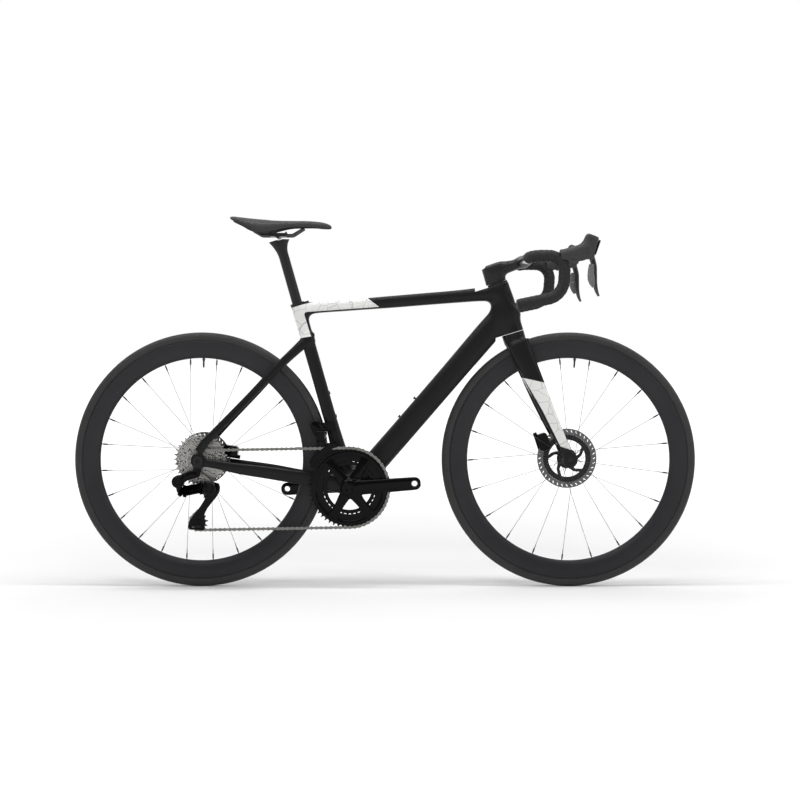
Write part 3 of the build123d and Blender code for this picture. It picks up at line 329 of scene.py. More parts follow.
# ---------------------------------------------------------------- mesh building
def mesh_object(name, verts, faces, smooth=True, sharp=None):
    mesh = bpy.data.meshes.new(name)
    mesh.from_pydata(np.asarray(verts).tolist(), [], faces)
    mesh.polygons.foreach_set("use_smooth", [smooth] * len(mesh.polygons))
    if sharp is not None:
        mesh.set_sharp_from_angle(angle=math.radians(sharp))
    piece = bpy.data.objects.new(name, mesh)
    bpy.context.scene.collection.objects.link(piece)
    return piece


def grid_faces(rows, columns, close_rows=True, close_columns=True):
    """Quads over a wrapped grid of vertices."""
    faces = []
    for i in range(rows if close_rows else rows - 1):
        for j in range(columns if close_columns else columns - 1):
            a, b = i * columns + j, i * columns + (j + 1) % columns
            c, d = ((i + 1) % rows) * columns + (j + 1) % columns, ((i + 1) % rows) * columns + j
            faces.append([a, b, c, d])
    return faces


def lathe(name, centre, profile, steps, closed=True, sharp=40):
    """Surface of revolution about Y through a side-view centre. Profile: (radius, y)."""
    profile = np.asarray(profile, float)
    angles = np.arange(steps) * 2 * math.pi / steps
    x = centre[0] + np.outer(np.cos(angles), profile[:, 0])
    z = centre[2] + np.outer(np.sin(angles), profile[:, 0])
    y = np.broadcast_to(profile[:, 1], x.shape)
    verts = np.stack([x, y, z], axis=-1).reshape(-1, 3)
    faces = grid_faces(steps, len(profile), True, closed)
    return mesh_object(name, verts * MM, faces, sharp=sharp)


def join(name, pieces):
    """One object from several."""
    keep = pieces[0]
    with bpy.context.temp_override(active_object=keep, selected_editable_objects=pieces):
        bpy.ops.object.join()
    keep.name = name
    return keep


def attach(piece, body, slot, material, *nodes):
    """Rides on a body, takes a material, and stands for CAD nodes; the slot argument is not used."""
    piece.data.materials.clear()
    piece.data.materials.append(material)
    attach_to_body(piece, body)
    if nodes:
        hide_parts(*nodes)
    return piece


# ---------------------------------------------------------------- shading
class Shade:
    """A Principled material built with short arithmetic on sockets."""

    def __init__(self, name, rough=0.4, metal=0.0, **fixed):
        self.material = bpy.data.materials.new(name)
        self.material.use_nodes = True
        self.tree = self.material.node_tree
        self.shader = self.tree.nodes["Principled BSDF"]
        self.set("Roughness", rough)
        self.set("Metallic", metal)
        for key, value in fixed.items():
            self.set(key.replace("_", " "), value)
        self.place = self.add("ShaderNodeTexCoord").outputs["Object"]
        parts = self.add("ShaderNodeSeparateXYZ")
        self.link(self.place, parts.inputs[0])
        self.x, self.y, self.z = (self.scaled(parts.outputs[k], 1 / MM) for k in range(3))

    def add(self, kind):
        return self.tree.nodes.new(kind)

    def link(self, value, socket):
        if isinstance(value, bpy.types.NodeSocket):
            self.tree.links.new(value, socket)
        elif isinstance(value, (int, float)) or len(value) == len(socket.default_value):
            socket.default_value = value
        else:
            socket.default_value = (*value, 1.0)

    def set(self, name, value):
        self.link(value, self.shader.inputs[name])

    def calc(self, operation, a, b=0.0, c=0.0, clamp=False):
        node = self.add("ShaderNodeMath")
        node.operation = operation
        node.use_clamp = clamp
        for value, socket in zip((a, b, c), node.inputs):
            self.link(value, socket)
        return node.outputs[0]

    def scaled(self, value, factor, offset=0.0):
        return self.calc("MULTIPLY_ADD", value, factor, offset)

    def total(self, *values):
        result = values[0]
        for value in values[1:]:
            result = self.calc("ADD", result, value)
        return result

    def least(self, *values):
        result = values[0]
        for value in values[1:]:
            result = self.calc("MINIMUM", result, value)
        return result

    def most(self, *values):
        result = values[0]
        for value in values[1:]:
            result = self.calc("MAXIMUM", result, value)
        return result

    def side(self, point, normal):
        """Signed distance in front of a side-view line, in millimetres."""
        size = math.hypot(*normal)
        nx, nz = normal[0] / size, normal[1] / size
        return self.total(self.scaled(self.x, nx, -nx * point[0] - nz * point[1]), self.scaled(self.z, nz))

    def step(self, value, width=0.4):
        """Mask that turns from 0 to 1 where a value passes zero."""
        return self.calc("MULTIPLY_ADD", value, 1 / width, 0.5, clamp=True)

    def noise(self, scale, detail=2.0, stretch=None, rough=0.5):
        """Noise with a scale per metre."""
        node = self.add("ShaderNodeTexNoise")
        place = self.place
        if stretch:
            mapping = self.add("ShaderNodeMapping")
            self.link(self.place, mapping.inputs["Vector"])
            self.link(stretch, mapping.inputs["Scale"])
            place = mapping.outputs[0]
        self.link(place, node.inputs["Vector"])
        self.link(scale, node.inputs["Scale"])
        self.link(detail, node.inputs["Detail"])
        self.link(rough, node.inputs["Roughness"])
        return node.outputs[0]

    def cells(self, scale, feature="F1", vector=None, spread=1.0):
        node = self.add("ShaderNodeTexVoronoi")
        node.feature = feature
        self.link(vector or self.place, node.inputs["Vector"])
        self.link(scale, node.inputs["Scale"])
        self.link(spread, node.inputs["Randomness"])
        return node.outputs["Distance"]

    def mix(self, factor, a, b):
        node = self.add("ShaderNodeMix")
        node.data_type = "RGBA"
        self.link(factor, node.inputs[0])
        self.link(a, node.inputs[6])
        self.link(b, node.inputs[7])
        return node.outputs[2]

    def blend(self, factor, a, b):
        node = self.add("ShaderNodeMix")
        self.link(factor, node.inputs[0])
        self.link(a, node.inputs[2])
        self.link(b, node.inputs[3])
        return node.outputs[0]

    def wave(self, value, period):
        """Sine of a length, from 0 to 1."""
        return self.scaled(self.calc("SINE", self.scaled(value, 2 * math.pi / period)), 0.5, 0.5)

    def bump(self, height, depth):
        """Surface relief from a height of 0 to 1 and a depth in millimetres."""
        node = self.add("ShaderNodeBump")
        self.link(depth * MM, node.inputs["Distance"])
        self.link(height, node.inputs["Height"])
        self.set("Normal", node.outputs[0])
        return node

    def around(self, centre):
        """Angle and radius about a side-view centre, in radians and millimetres."""
        x, z = self.scaled(self.x, 1, -float(centre[0])), self.scaled(self.z, 1, -float(centre[2]))
        radius = self.calc("SQRT", self.total(self.calc("MULTIPLY", x, x), self.calc("MULTIPLY", z, z)))
        return self.calc("ARCTAN2", z, x), radius


def surface(name, colour, rough, metal=0.0, mottle=0.12, spread=0.06, grain=700, depth=0.02, stretch=None, **fixed):
    """Material whose tone, roughness and relief vary with fine and broad noise."""
    shade = Shade(name, rough, metal, **fixed)
    broad, fine = shade.noise(30, 3), shade.noise(grain, 3, stretch)
    colour = np.array(colour)
    tone = shade.blend(0.35, broad, fine)
    shade.set("Base Color", shade.mix(tone, tuple(colour * (1 - mottle)), tuple(np.minimum(colour * (1 + mottle), 1))))
    shade.set("Roughness", shade.scaled(fine, 2 * spread, rough - spread))
    shade.bump(fine, depth)
    return shade.material


def frame_paint():
    """Matt black lacquer with a white seat cluster and faint random web lines on the white."""
    shade = Shade("frame_paint", 0.38, Coat_Weight=0.06, Coat_Roughness=0.2, Specular_IOR_Level=0.16)
    seat_line = shade.side((-197.6, 668.2), (-0.9553, -0.2957))
    top_line = shade.side((-168.2, 735.1), (-0.070, 0.9975))
    corner = shade.add("ShaderNodeMath")
    corner.operation = "SMOOTH_MAX"
    shade.link(seat_line, corner.inputs[0])
    shade.link(top_line, corner.inputs[1])
    shade.link(16.0, corner.inputs[2])
    ahead = shade.side((-42.5, 766), (-20, -26.5))
    above = shade.side((-223, 663), (-0.15, 0.99))
    white = shade.step(shade.least(corner.outputs[0], ahead, above, shade.side((-233, 748), (0.2745, -0.9616))))
    web = shade.calc("LESS_THAN", shade.cells(34, "DISTANCE_TO_EDGE"), 0.022)
    light = shade.mix(shade.scaled(web, 0.55), (0.74, 0.74, 0.725), (0.3, 0.305, 0.31))
    fine, broad = shade.noise(1500, 2), shade.noise(12, 3)
    dark = shade.mix(broad, (0.0045, 0.0045, 0.005), (0.0085, 0.0085, 0.0095))
    shade.set("Base Color", shade.mix(white, dark, light))
    shade.set("Roughness", shade.total(shade.scaled(fine, 0.06, 0.36), shade.scaled(white, -0.1)))
    shade.bump(fine, 0.006)
    return shade.material


def fork_paint():
    """Matt black lacquer with white blades and a black strip down their rear edge."""
    shade = Shade("fork_paint", 0.38, Coat_Weight=0.06, Coat_Roughness=0.2, Specular_IOR_Level=0.16)
    upper = shade.side((367.4, 556.6), (-11.6, -52.6))
    lower = shade.side((461, 377), (9, 27.8))
    rear = shade.most(shade.side((383, 526), (0.895, 0.446)), shade.side((430, 437), (0.865, 0.5)))
    white = shade.step(shade.least(upper, lower, shade.scaled(rear, 1, -5)))
    web = shade.calc("LESS_THAN", shade.cells(34, "DISTANCE_TO_EDGE"), 0.022)
    light = shade.mix(shade.scaled(web, 0.55), (0.74, 0.74, 0.725), (0.3, 0.305, 0.31))
    fine, broad = shade.noise(1500, 2), shade.noise(12, 3)
    dark = shade.mix(broad, (0.0045, 0.0045, 0.005), (0.0085, 0.0085, 0.0095))
    shade.set("Base Color", shade.mix(white, dark, light))
    shade.set("Roughness", shade.total(shade.scaled(fine, 0.06, 0.36), shade.scaled(white, -0.1)))
    shade.bump(fine, 0.006)
    return shade.material


def tyre_rubber(name, centre):
    """Black rubber: fine moulding grain, tread sipe grooves on the shoulder painted darker as shade, and lighter
    towards the crown.
    """
    shade = Shade(name, 0.62, Specular_IOR_Level=0.3)
    angle, radius = shade.around(centre)
    slant = shade.total(shade.scaled(angle, 340 * 1.0), shade.calc("ABSOLUTE", shade.scaled(shade.y, 0.9)))
    sipe_relief_and_shade = shade.calc("GREATER_THAN", shade.wave(slant, 6.0), 0.86)
    reach = shade.calc("ABSOLUTE", shade.y)
    band = shade.least(shade.step(shade.scaled(reach, 1, -5.0)), shade.step(shade.scaled(reach, -1, 9.5)),
                       shade.step(shade.scaled(radius, 1, -(TYRE_RADIUS - 12))))
    sipe_relief_and_shade = shade.calc("MULTIPLY", sipe_relief_and_shade, band)
    fine, broad = shade.noise(1200, 3), shade.noise(25, 3)
    # Lighter towards the crown.
    crown = shade.step(shade.scaled(radius, 1, -(TYRE_RADIUS - 3)), 5.0)
    base = shade.mix(broad, (0.022, 0.022, 0.022), (0.034, 0.034, 0.034))
    base = shade.mix(shade.scaled(crown, 0.35), base, (0.06, 0.058, 0.055))
    # Painted shade: each sipe groove is coloured darker than the rubber round it.
    shade.set("Base Color", shade.mix(sipe_relief_and_shade, base, (0.008, 0.008, 0.008)))
    shade.set("Roughness", shade.scaled(fine, 0.16, 0.52))
    shade.bump(shade.total(shade.scaled(fine, 0.25), shade.scaled(sipe_relief_and_shade, -0.9)), 0.35)
    return shade.material


def rim_carbon(name, centre):
    """Matt unidirectional carbon with fibres running round the rim."""
    shade = Shade(name, 0.42, Coat_Weight=0.04, Coat_Roughness=0.3, Specular_IOR_Level=0.22)
    angle, radius = shade.around(centre)
    ply = shade.add("ShaderNodeCombineXYZ")
    for value, socket in zip((shade.scaled(angle, 6.0), shade.scaled(radius, 1.2), shade.scaled(shade.y, 0.6)), ply.inputs):
        shade.link(value, socket)
    fibre = shade.add("ShaderNodeTexNoise")
    shade.link(ply.outputs[0], fibre.inputs["Vector"])
    shade.link(2.0, fibre.inputs["Scale"])
    shade.link(4.0, fibre.inputs["Detail"])
    broad = shade.noise(10, 2)
    tone = shade.blend(0.5, fibre.outputs[0], broad)
    shade.set("Base Color", shade.mix(tone, (0.012, 0.012, 0.0135), (0.026, 0.026, 0.029)))
    shade.set("Roughness", shade.scaled(fibre.outputs[0], 0.12, 0.36))
    shade.bump(fibre.outputs[0], 0.012)
    return shade.material


MATT = surface("matt_black", (0.011, 0.011, 0.012), 0.4, grain=1500, depth=0.006, Specular_IOR_Level=0.3)
GLOSS = surface("gloss_black", (0.0012, 0.0012, 0.0014), 0.12, grain=1800, spread=0.03, depth=0.003,
                Coat_Weight=0.1, Coat_Roughness=0.04, Specular_IOR_Level=0.06)
STEEL = surface("polished_steel", (0.20, 0.197, 0.188), 0.3, 1.0, grain=900, spread=0.08, depth=0.008, mottle=0.4)
DARK = surface("dark_metal", (0.05, 0.051, 0.053), 0.33, 0.9, grain=1300, depth=0.008)
ALLOY = surface("black_alloy", (0.012, 0.012, 0.013), 0.36, 0.3, grain=1500, depth=0.01, Specular_IOR_Level=0.35)
PLASTIC = surface("black_plastic", (0.014, 0.014, 0.0145), 0.48, grain=900, depth=0.02, Specular_IOR_Level=0.3)
SPOKE = surface("spoke_steel", (0.035, 0.035, 0.037), 0.34, 0.7, grain=1600, depth=0.004, Specular_IOR_Level=0.3)
LINING = surface("brake_lining", (0.03, 0.027, 0.024), 0.85, grain=500, depth=0.15, mottle=0.4, Specular_IOR_Level=0.2)


# ---------------------------------------------------------------- frame
def head_line(along, fore=0.0):
    """Side-view point on the steering axis, with an offset forward of it."""
    point = HEAD + HEAD_UP * along + HEAD_FORE * fore
    return point[0], point[2]


def build_frame():
    """Front triangle and rear stays as one moulded carbon shell."""
    head = beam(head_line(0.6), head_line(135), [
        (0, 0, 0, 30, 25, 2.6), (0.25, 0, 0, 30.2, 23, 2.5), (0.6, 0, 0, 30.4, 21.2, 2.4), (1, 0.2, 0, 28, 20.2, 2.3)])
    top = beam((-226, 740), (318, 782.5), [
        (0, 0, 0, 17, 15, 2.6), (0.1, 1.4, 0, 15.2, 16, 2.8), (0.25, 0.6, 0, 15, 17.5, 3.0), (0.45, 0.6, 0, 16, 18, 3.0),
        (0.6, 1.0, 0, 16.2, 18, 3.0), (0.78, 1.3, 0, 16.8, 18.4, 2.8), (0.87, 2, 0, 18, 19, 2.6), (1, 1, 0, 22, 19.5, 2.4)])
    down = beam((-85, 262), (334, 747), [
        (0, 0, 0, 31, 30, 2.6), (0.15, 0, 0, 31, 28, 2.8), (0.35, -0.5, 0, 30.8, 25.5, 3.0), (0.65, -0.3, 0, 31, 23.5, 3.0),
        (0.85, 0, 0, 32, 22.3, 2.8), (1, 0, 0, 30, 20.5, 2.4)])
    seat = beam((-100.5, 285), (-233.1, 749.6), [
        (0, 0, 0, 25, 27.5, 2.4), (0.2, 0, 0, 19.5, 20.5, 2.6), (0.45, 0, 0, 17.2, 17, 3.0), (0.8, 0, 0, 17.2, 15.8, 3.0),
        (1, 0, 0, 18.6, 15.5, 2.6)])
    shell = drum(CRANK, (0, 1, 0), 28.5, 35.8, 1.5)
    chain_stay = beam((-118, 272), (-478, 334), [
        (0, 0, 24, 22, 10, 2.6), (0.15, -1, 31, 20, 7, 2.8), (0.3, -1, 38, 17, 6.8, 3.0), (0.5, -1.5, 53, 16, 7.2, 3.0),
        (0.75, 0, 68, 13.5, 6.6, 2.8), (0.9, -1, 74, 10.5, 4.2, 2.6), (1, 0, 74, 9.5, 3.1, 3.0)], both_sides=True)
    seat_stay = beam((-200, 666), (-479, 352), [
        (0, 0, 8, 15, 8, 2.4), (0.08, -3, 18, 12.5, 6.5, 2.8), (0.25, -9.6, 31, 10, 5.8, 3.2), (0.53, -12.5, 48, 9.4, 5.6, 3.4),
        (0.67, -15, 58, 9.2, 5.2, 3.4), (0.8, -17, 67.5, 9.4, 4.8, 3.2), (0.93, -18.5, 73.8, 10.5, 3.6, 2.8),
        (1, -15, 74, 11, 3.0, 2.6)], both_sides=True)
    dropout = mirror_y(drum((REAR[0], 74, REAR[2]), (0, 1, 0), 20, 3.0, 0.8))
    yoke = block((-203, 0, 660), (11, 13, 19), 6, -16)
    bridge = block((-138, 0, 280), (9, 27, 15), 5)
    front = union(head, top, blend=20)
    front = union(front, down, blend=22)
    front = union(front, seat, blend=22)
    front = union(front, shell, blend=9)
    back = union(chain_stay, bridge, blend=12)
    back = union(back, seat_stay, yoke, blend=9)
    back = union(back, dropout, blend=5)
    shape = union(front, back, blend=8)
    shape = cut(shape, drum(REAR, (0, 1, 0), TYRE_RADIUS + 4.2, 20.5, 3), drum(REAR, (0, 1, 0), 48, 70.95),
                drum(HEAD + HEAD_UP * 70, HEAD_UP, 21.0, 90), drum(CRANK, (0, 1, 0), 20.6, 60),
                drum(REAR, (0, 1, 0), 6.1, 100), post_socket(), blend=0.8)
    shape = cut(shape, lambda points: np.maximum((points - HEAD) @ HEAD_UP - 0.6, np.abs(points[:, 0] - HEAD[0]) - 46),
                lambda points: np.maximum(134.8 - (points - HEAD) @ HEAD_UP, 240 - points[:, 0]),
                lambda points: np.maximum((SEAT_TOP - points) @ SEAT_UP, points[:, 0] + 196), blend=0.8)
    return skin("frame_shell", shape, (-520, -82, 222), (378, 82, 822), 1.5)


def post_socket():
    """Socket for the post: an ellipse along the seat tube."""
    across = np.array([SEAT_UP[2], 0, -SEAT_UP[0]])

    def distance(points):
        off = points - SEAT_TOP
        side = oval(off @ across, points[:, 1], 13.6, 10.6, 2)
        return capped(side, -140 - off @ SEAT_UP)

    return distance


def build_fork():
    """Crown, blades and dropouts."""
    crown = beam(head_line(-0.2), head_line(-34), [
        (0, 0, 0, 30, 25, 2.5), (0.35, 0, 0, 29.8, 28, 2.5), (0.8, 0, 0, 29, 31.5, 2.4), (1, 0, 0, 26, 33, 2.2)])
    blade = beam((352, 650), (489, 341), [
        (0, 2, 30, 30, 14, 2.4), (0.12, 0, 37, 27.5, 12, 2.6), (0.21, 0, 40, 25.2, 10.6, 2.8), (0.36, -1, 44, 23.2, 9.4, 2.8),
        (0.5, -1.9, 48, 21, 8.6, 2.8), (0.75, -1.5, 53.4, 16.2, 6.6, 2.8), (0.9, 0.5, 54.2, 12.8, 4.8, 2.6),
        (1, 0, 53.4, 12, 3.2, 2.4)], both_sides=True)
    dropout = mirror_y(drum((FRONT[0], 53, FRONT[2]), (0, 1, 0), 19, 3.0, 0.8))
    shape = union(crown, blade, blend=12)
    shape = union(shape, dropout, blend=6)
    wheel_gap = drum(FRONT, (0, 1, 0), TYRE_RADIUS + 7, 20.5, 4)
    inner_faces = drum(FRONT, (0, 1, 0), 24, 49.95)
    axle = drum(FRONT, (0, 1, 0), 6.1, 100)
    shape = cut(shape, wheel_gap, inner_faces, axle, blend=0.8)
    shape = cut(shape, lambda points: (points - HEAD) @ HEAD_UP * -1 - 0.2, blend=0.8)
    return skin("fork_shell", shape, (270, -64, 316), (516, 64, 690), 1.6)


# ---------------------------------------------------------------- wheels
def build_tyre(name, centre):
    """28 mm road tyre: round casing, slick crown, moulded shoulder line and bead."""
    profile = []
    for step in range(-22, 23):
        turn = math.radians(step * 6.2)
        radius = 14.0
        height = TYRE_RADIUS - 14.0 + radius * math.cos(turn)
        width = radius * math.sin(turn)
        if abs(step) == 12:
            height, width = height + 0.35 * math.cos(turn), width * 1.0
        if abs(step) in (13, 14):
            height, width = height - 0.25, width * 0.985
        profile.append((height, width))
    lip = [(r, y) for r, y in profile if r > RIM_OUTER - 1.0]
    low = RIM_OUTER - 1.5
    lip = [(low, lip[0][1] * 0.98)] + lip + [(low, lip[-1][1] * 0.98)]
    return lathe(name, centre, lip, 360, sharp=30)


def build_rim(name, centre):
    """Deep carbon rim: hooked edge, brakeless wall and rounded spoke face."""
    half = []
    for radius, y in ((316.5, 12.4), (316.3, 13.2), (315.2, 13.9), (312.0, 14.0), (309.5, 13.8), (304, 13.9),
                      (296, 13.6), (288, 12.7), (281, 10.9), (276, 8.4), (272.6, 5.4), (270.6, 2.4)):
        half.append((radius, y))
    profile = half + [(270.1, 0)] + [(r, -y) for r, y in reversed(half)] + [(314.8, -10.0), (314.8, 10.0)]
    return lathe(name, centre, profile, 288, sharp=50)


TYRE_PIECES = []
for end, centre in (("front", FRONT), ("rear", REAR)):
    body = end + "_wheel"
    tyre = build_tyre(end + "_tyre_skin", centre)
    attach(tyre, body, "rubber_tyre", tyre_rubber(end + "_tyre_rubber", centre), end + "_tyre")
    rim = build_rim(end + "_rim_skin", centre)
    attach(rim, body, "carbon_rim", rim_carbon(end + "_rim_carbon", centre), end + "_rim")

attach(build_frame(), "frame", "carbon_frame", frame_paint(), "main_frame", "rear_triangle")
attach(build_fork(), "fork_bar", "carbon_frame", fork_paint(), "fork")


# ---------------------------------------------------------------- bar, tape and levers
def rounded(points, radii, count=10):
    """Polyline with its inner corners turned into arcs."""
    points = [np.asarray(point, float) for point in points]
    path = [points[0]]
    for before, corner, after, radius in zip(points, points[1:], points[2:], radii):
        a, b = before - corner, after - corner
        a, b = a / np.linalg.norm(a), b / np.linalg.norm(b)
        half = math.acos(np.clip(a @ b, -1, 1)) / 2
        middle = (a + b) / np.linalg.norm(a + b)
        centre = corner + middle * radius / math.sin(half)
        start, end = corner + a * radius / math.tan(half), corner + b * radius / math.tan(half)
        for k in range(count + 1):
            way = start + (end - start) * k / count - centre
            path.append(centre + way * radius / np.linalg.norm(way))
    return np.array(path + [points[-1]])


def resample(path, spacing):
    """Even points along a path, with the distance travelled at each."""
    lengths = np.concatenate([[0], np.cumsum(np.linalg.norm(np.diff(path, axis=0), axis=1))])
    at = np.linspace(0, lengths[-1], max(2, int(lengths[-1] / spacing) + 1))
    return np.stack([np.interp(at, lengths, path[:, k]) for k in range(3)], axis=1), at


def tube(name, path, spacing, sides, radius, sharp=60):
    """Tube mesh along a path; radius is a function of distance and angle. Both ends are closed."""
    points, at = resample(path, spacing)
    ways = np.gradient(points, axis=0)
    ways /= np.linalg.norm(ways, axis=1)[:, None]
    normal = np.cross(ways[0], (0, 0, 1.0))
    if np.linalg.norm(normal) < 0.1:
        normal = np.cross(ways[0], (0, 1.0, 0))
    verts = []
    angles = np.arange(sides) * 2 * math.pi / sides
    for point, way, s in zip(points, ways, at):
        normal = normal - way * (normal @ way)
        normal /= np.linalg.norm(normal)
        across = np.cross(way, normal)
        size = radius(s, angles)
        verts.append(point + np.outer(np.cos(angles) * size, normal) + np.outer(np.sin(angles) * size, across))
    count = len(points)
    faces = [face[::-1] for face in grid_faces(count, sides, False, True)]
    flat = [v for ring in verts for v in ring] + [points[0], points[-1]]
    for k in range(sides):
        faces.append([count * sides, k, (k + 1) % sides])
        faces.append([count * sides + 1, (count - 1) * sides + (k + 1) % sides, (count - 1) * sides + k])
    return mesh_object(name, np.array(flat) * MM, faces, sharp=sharp)


def bar_path(sign, first):
    """Centre line of one half of the bar from a given distance off the middle."""
    points = [(373, sign * first, 868), (376, sign * 192, 871), (462, sign * 198, 870), (455, sign * 207, 768),
              (341, sign * 212, 744.5)]
    return rounded(points, (38, 40, 52))


def wrapped(s, angles):
    """Radius of wound tape: each turn overlaps the one before."""
    turn = ((s + angles / (2 * math.pi) * 13.0) / 13.0) % 1.0
    ridge = np.clip(turn / 0.12, 0, 1) * np.clip((1 - turn) / 0.05, 0, 1)
    end = min(s / 6.0, 1.0)
    return 14.5 + 0.25 * end + (0.85 * (1 - turn) * ridge + 0.1) * end


def build_cockpit():
    """One-piece stem and bar: clamp column, reach and flattened tops."""
    stem = beam(head_line(141.3, -3), head_line(186, -3), [
        (0, 0, 0, 27.5, 19.3, 2.6), (0.5, 0, 0, 27, 19.3, 2.6), (1, 0, 0, 26.6, 18.4, 2.5)])
    reach = beam((276, 836), (372, 865), [
        (0, -1, 0, 20, 18, 2.4), (0.35, 2, 0, 18.5, 19.5, 2.5), (0.7, 1, 0, 14.5, 25, 2.5), (1, 1.5, 0, 13, 36, 2.4)])
    wing = sweep([(373, 0, 867.5), (373.5, 60, 868.2), (374.5, 120, 869.2), (375.5, 162, 870.3), (376, 176, 870.6)], [
        (0, 18.5, 13, 2.4), (0.35, 19.5, 10.6, 2.6), (0.7, 17.5, 11, 2.5), (0.9, 13, 12, 2.1), (1, 12, 12, 2.0)], up=(0, 0, 1))
    shape = union(stem, reach, blend=14)
    shape = union(shape, mirror_y(wing), blend=16)
    shape = cut(shape, drum(HEAD + HEAD_UP * 150, HEAD_UP, 14.4, 34), slab(HEAD + HEAD_UP * 140.4, HEAD_UP), blend=1.2)
    body = skin("cockpit_shell", shape, (248, -182, 790), (400, 182, 892), 1.5)
    drops = []
    for sign in (1, -1):
        drops.append(tube("drop", bar_path(sign, 170), 4, 24, lambda s, angles: np.full(len(angles), 12.0)))
    return join("cockpit_shell", [body] + drops)


def cockpit_paint():
    """Matt black with a smoky glossy patch on each flattened top."""
    shade = Shade("cockpit_paint", 0.38, Coat_Weight=0.08, Coat_Roughness=0.2, Specular_IOR_Level=0.2)
    reach = shade.calc("ABSOLUTE", shade.y)
    patch = shade.least(shade.step(shade.scaled(reach, 1, -62), 3), shade.step(shade.scaled(reach, -1, 158), 3),
                        shade.step(shade.scaled(shade.x, 1, -361), 2))
    smoke = shade.noise(38, 3, (1, 0.5, 2.4))
    cloud = shade.mix(shade.calc("MULTIPLY_ADD", smoke, 3.0, -1.0, clamp=True), (0.03, 0.03, 0.032), (0.75, 0.75, 0.77))
    fine = shade.noise(1500, 2)
    shade.set("Base Color", shade.mix(patch, (0.012, 0.012, 0.013), cloud))
    shade.set("Roughness", shade.total(shade.scaled(fine, 0.06, 0.36), shade.scaled(patch, -0.2)))
    shade.bump(fine, 0.006)
    return shade.material


def tape_rubber():
    """Soft black tape with rows of small pin-holes, painted darker as shade."""
    shade = Shade("tape_rubber", 0.68, Specular_IOR_Level=0.25)
    pinhole_relief_and_shade = shade.calc("LESS_THAN", shade.cells(420, spread=0.25), 0.28)
    fine, broad = shade.noise(900, 3), shade.noise(40, 3)
    base = shade.mix(broad, (0.013, 0.013, 0.0135), (0.022, 0.022, 0.0225))
    # Painted shade: the pin-holes are coloured darker than the tape round them.
    shade.set("Base Color", shade.mix(shade.scaled(pinhole_relief_and_shade, 0.6), base, (0.006, 0.006, 0.006)))
    shade.set("Roughness", shade.scaled(fine, 0.14, 0.6))
    shade.bump(shade.total(shade.scaled(fine, 0.3), shade.scaled(pinhole_relief_and_shade, -0.6)), 0.3)
    return shade.material


def hood_rubber():
    """Moulded rubber with a fine diamond grip."""
    shade = Shade("hood_rubber", 0.6, Specular_IOR_Level=0.3)
    grip = shade.calc("MULTIPLY", shade.wave(shade.total(shade.x, shade.z), 2.6),
                      shade.wave(shade.total(shade.x, shade.scaled(shade.z, -1)), 2.6))
    fine, broad = shade.noise(900, 3), shade.noise(40, 3)
    shade.set("Base Color", shade.mix(broad, (0.024, 0.024, 0.0245), (0.038, 0.038, 0.0385)))
    shade.set("Roughness", shade.scaled(fine, 0.12, 0.52))
    shade.bump(shade.total(shade.scaled(fine, 0.3), shade.scaled(grip, 0.6)), 0.16)
    return shade.material


def build_hood(side, sign):
    """Lever body: rounded grip, tall horn and the fork that holds the lever."""
    y = sign * 198.0
    grip = beam((450, 868), (520, 882), [
        (0, 0, y, 17, 17, 2.2), (0.3, 1, y, 17.5, 16.6, 2.3), (0.65, 2.5, y, 18, 16.2, 2.4), (1, 4, y, 16.5, 15.4, 2.4)])
    horn = beam((512, 868), (533, 922), [
        (0, 0, y, 21, 15, 2.4), (0.35, 0.5, y, 21.5, 14.4, 2.5), (0.7, 0, y, 19.5, 12.8, 2.6), (0.93, 0.5, y, 17.0, 11.2, 2.6),
        (1, 0.5, y, 14.0, 9.8, 2.4)])
    jaw = beam((480, 868), (533, 868), [(0, 1, y, 15, 14, 2.2), (0.6, 4, y, 13, 13.6, 2.4), (1, 6, y, 9, 11, 2.4)])
    shape = union(grip, jaw, blend=7)
    shape = union(shape, horn, blend=9)
    shape = cut(shape, beam((536, 871), (550, 911), [(0, 1.2, y, 3.4, 8.9, 5), (1, 1.2, y, 3.4, 7.6, 5)]), blend=0.6)
    collar = drum((452, y, 869), (1, 0, 0), 17.6, 3.0, 1.2)
    shape = union(shape, collar, blend=2)
    core = bar_path(sign, 120)
    channel = sweep(core[(core[:, 0] > 395) & (core[:, 2] > 790)], [(0, 15.7, 15.7, 2), (1, 15.7, 15.7, 2)], up=(0, 1, 0))
    slot_box = block((526, y, 862), (15, 7.8, 21), 1.5)
    shape = cut(shape, channel, slot_box, blend=1.0)
    low, high = (446, y - 19, 848), (556, y + 19, 934)
    return skin("hood_skin_" + side, shape, low, high, 1.0)


def build_hood_panel(side, sign):
    """Gloss cover let into the front of the horn."""
    y = sign * 198.0
    panel = beam((536.6, 873), (549.4, 909.6), [(0, 0.4, y, 2.6, 8.3, 5), (1, 0.4, y, 2.6, 7.0, 5)])
    return skin("hood_panel_" + side, panel, (528, y - 10, 868), (556, y + 10, 914), 0.7)


def build_lever(side, sign):
    """Curved brake blade with a hooked tip and its pivot eye."""
    y = sign * 198.0
    eye = drum((LEVER[0], y, LEVER[2]), (0, 1, 0), 7.0, 7.0, 0.8)
    blade = beam((528, 869), (546, 767), [
        (0, 0, y, 7.5, 6.6, 2.8), (0.24, 1.8, y, 7.2, 6.9, 3.2), (0.48, -1.0, y, 6.6, 7.0, 3.2), (0.72, -3.6, y, 5.6, 6.8, 3),
        (0.88, -2.8, y, 4.5, 6.2, 2.8), (1, 0, y, 3.0, 5.2, 2.4)])
    shape = union(eye, blade, blend=4)
    shape = cut(shape, drum((LEVER[0], y, LEVER[2]), (0, 1, 0), 2.1, 20), blend=0.4)
    groove = beam((538, 846), (540.5, 790), [(0, 3.6, y, 2.2, 3.2, 2), (1, 3.0, y, 2.0, 2.6, 2)])
    shape = cut(shape, groove, blend=0.8)
    return skin("lever_blade_" + side, shape, (515, y - 8.5, 758), (554, y + 8.5, 879), 0.8)


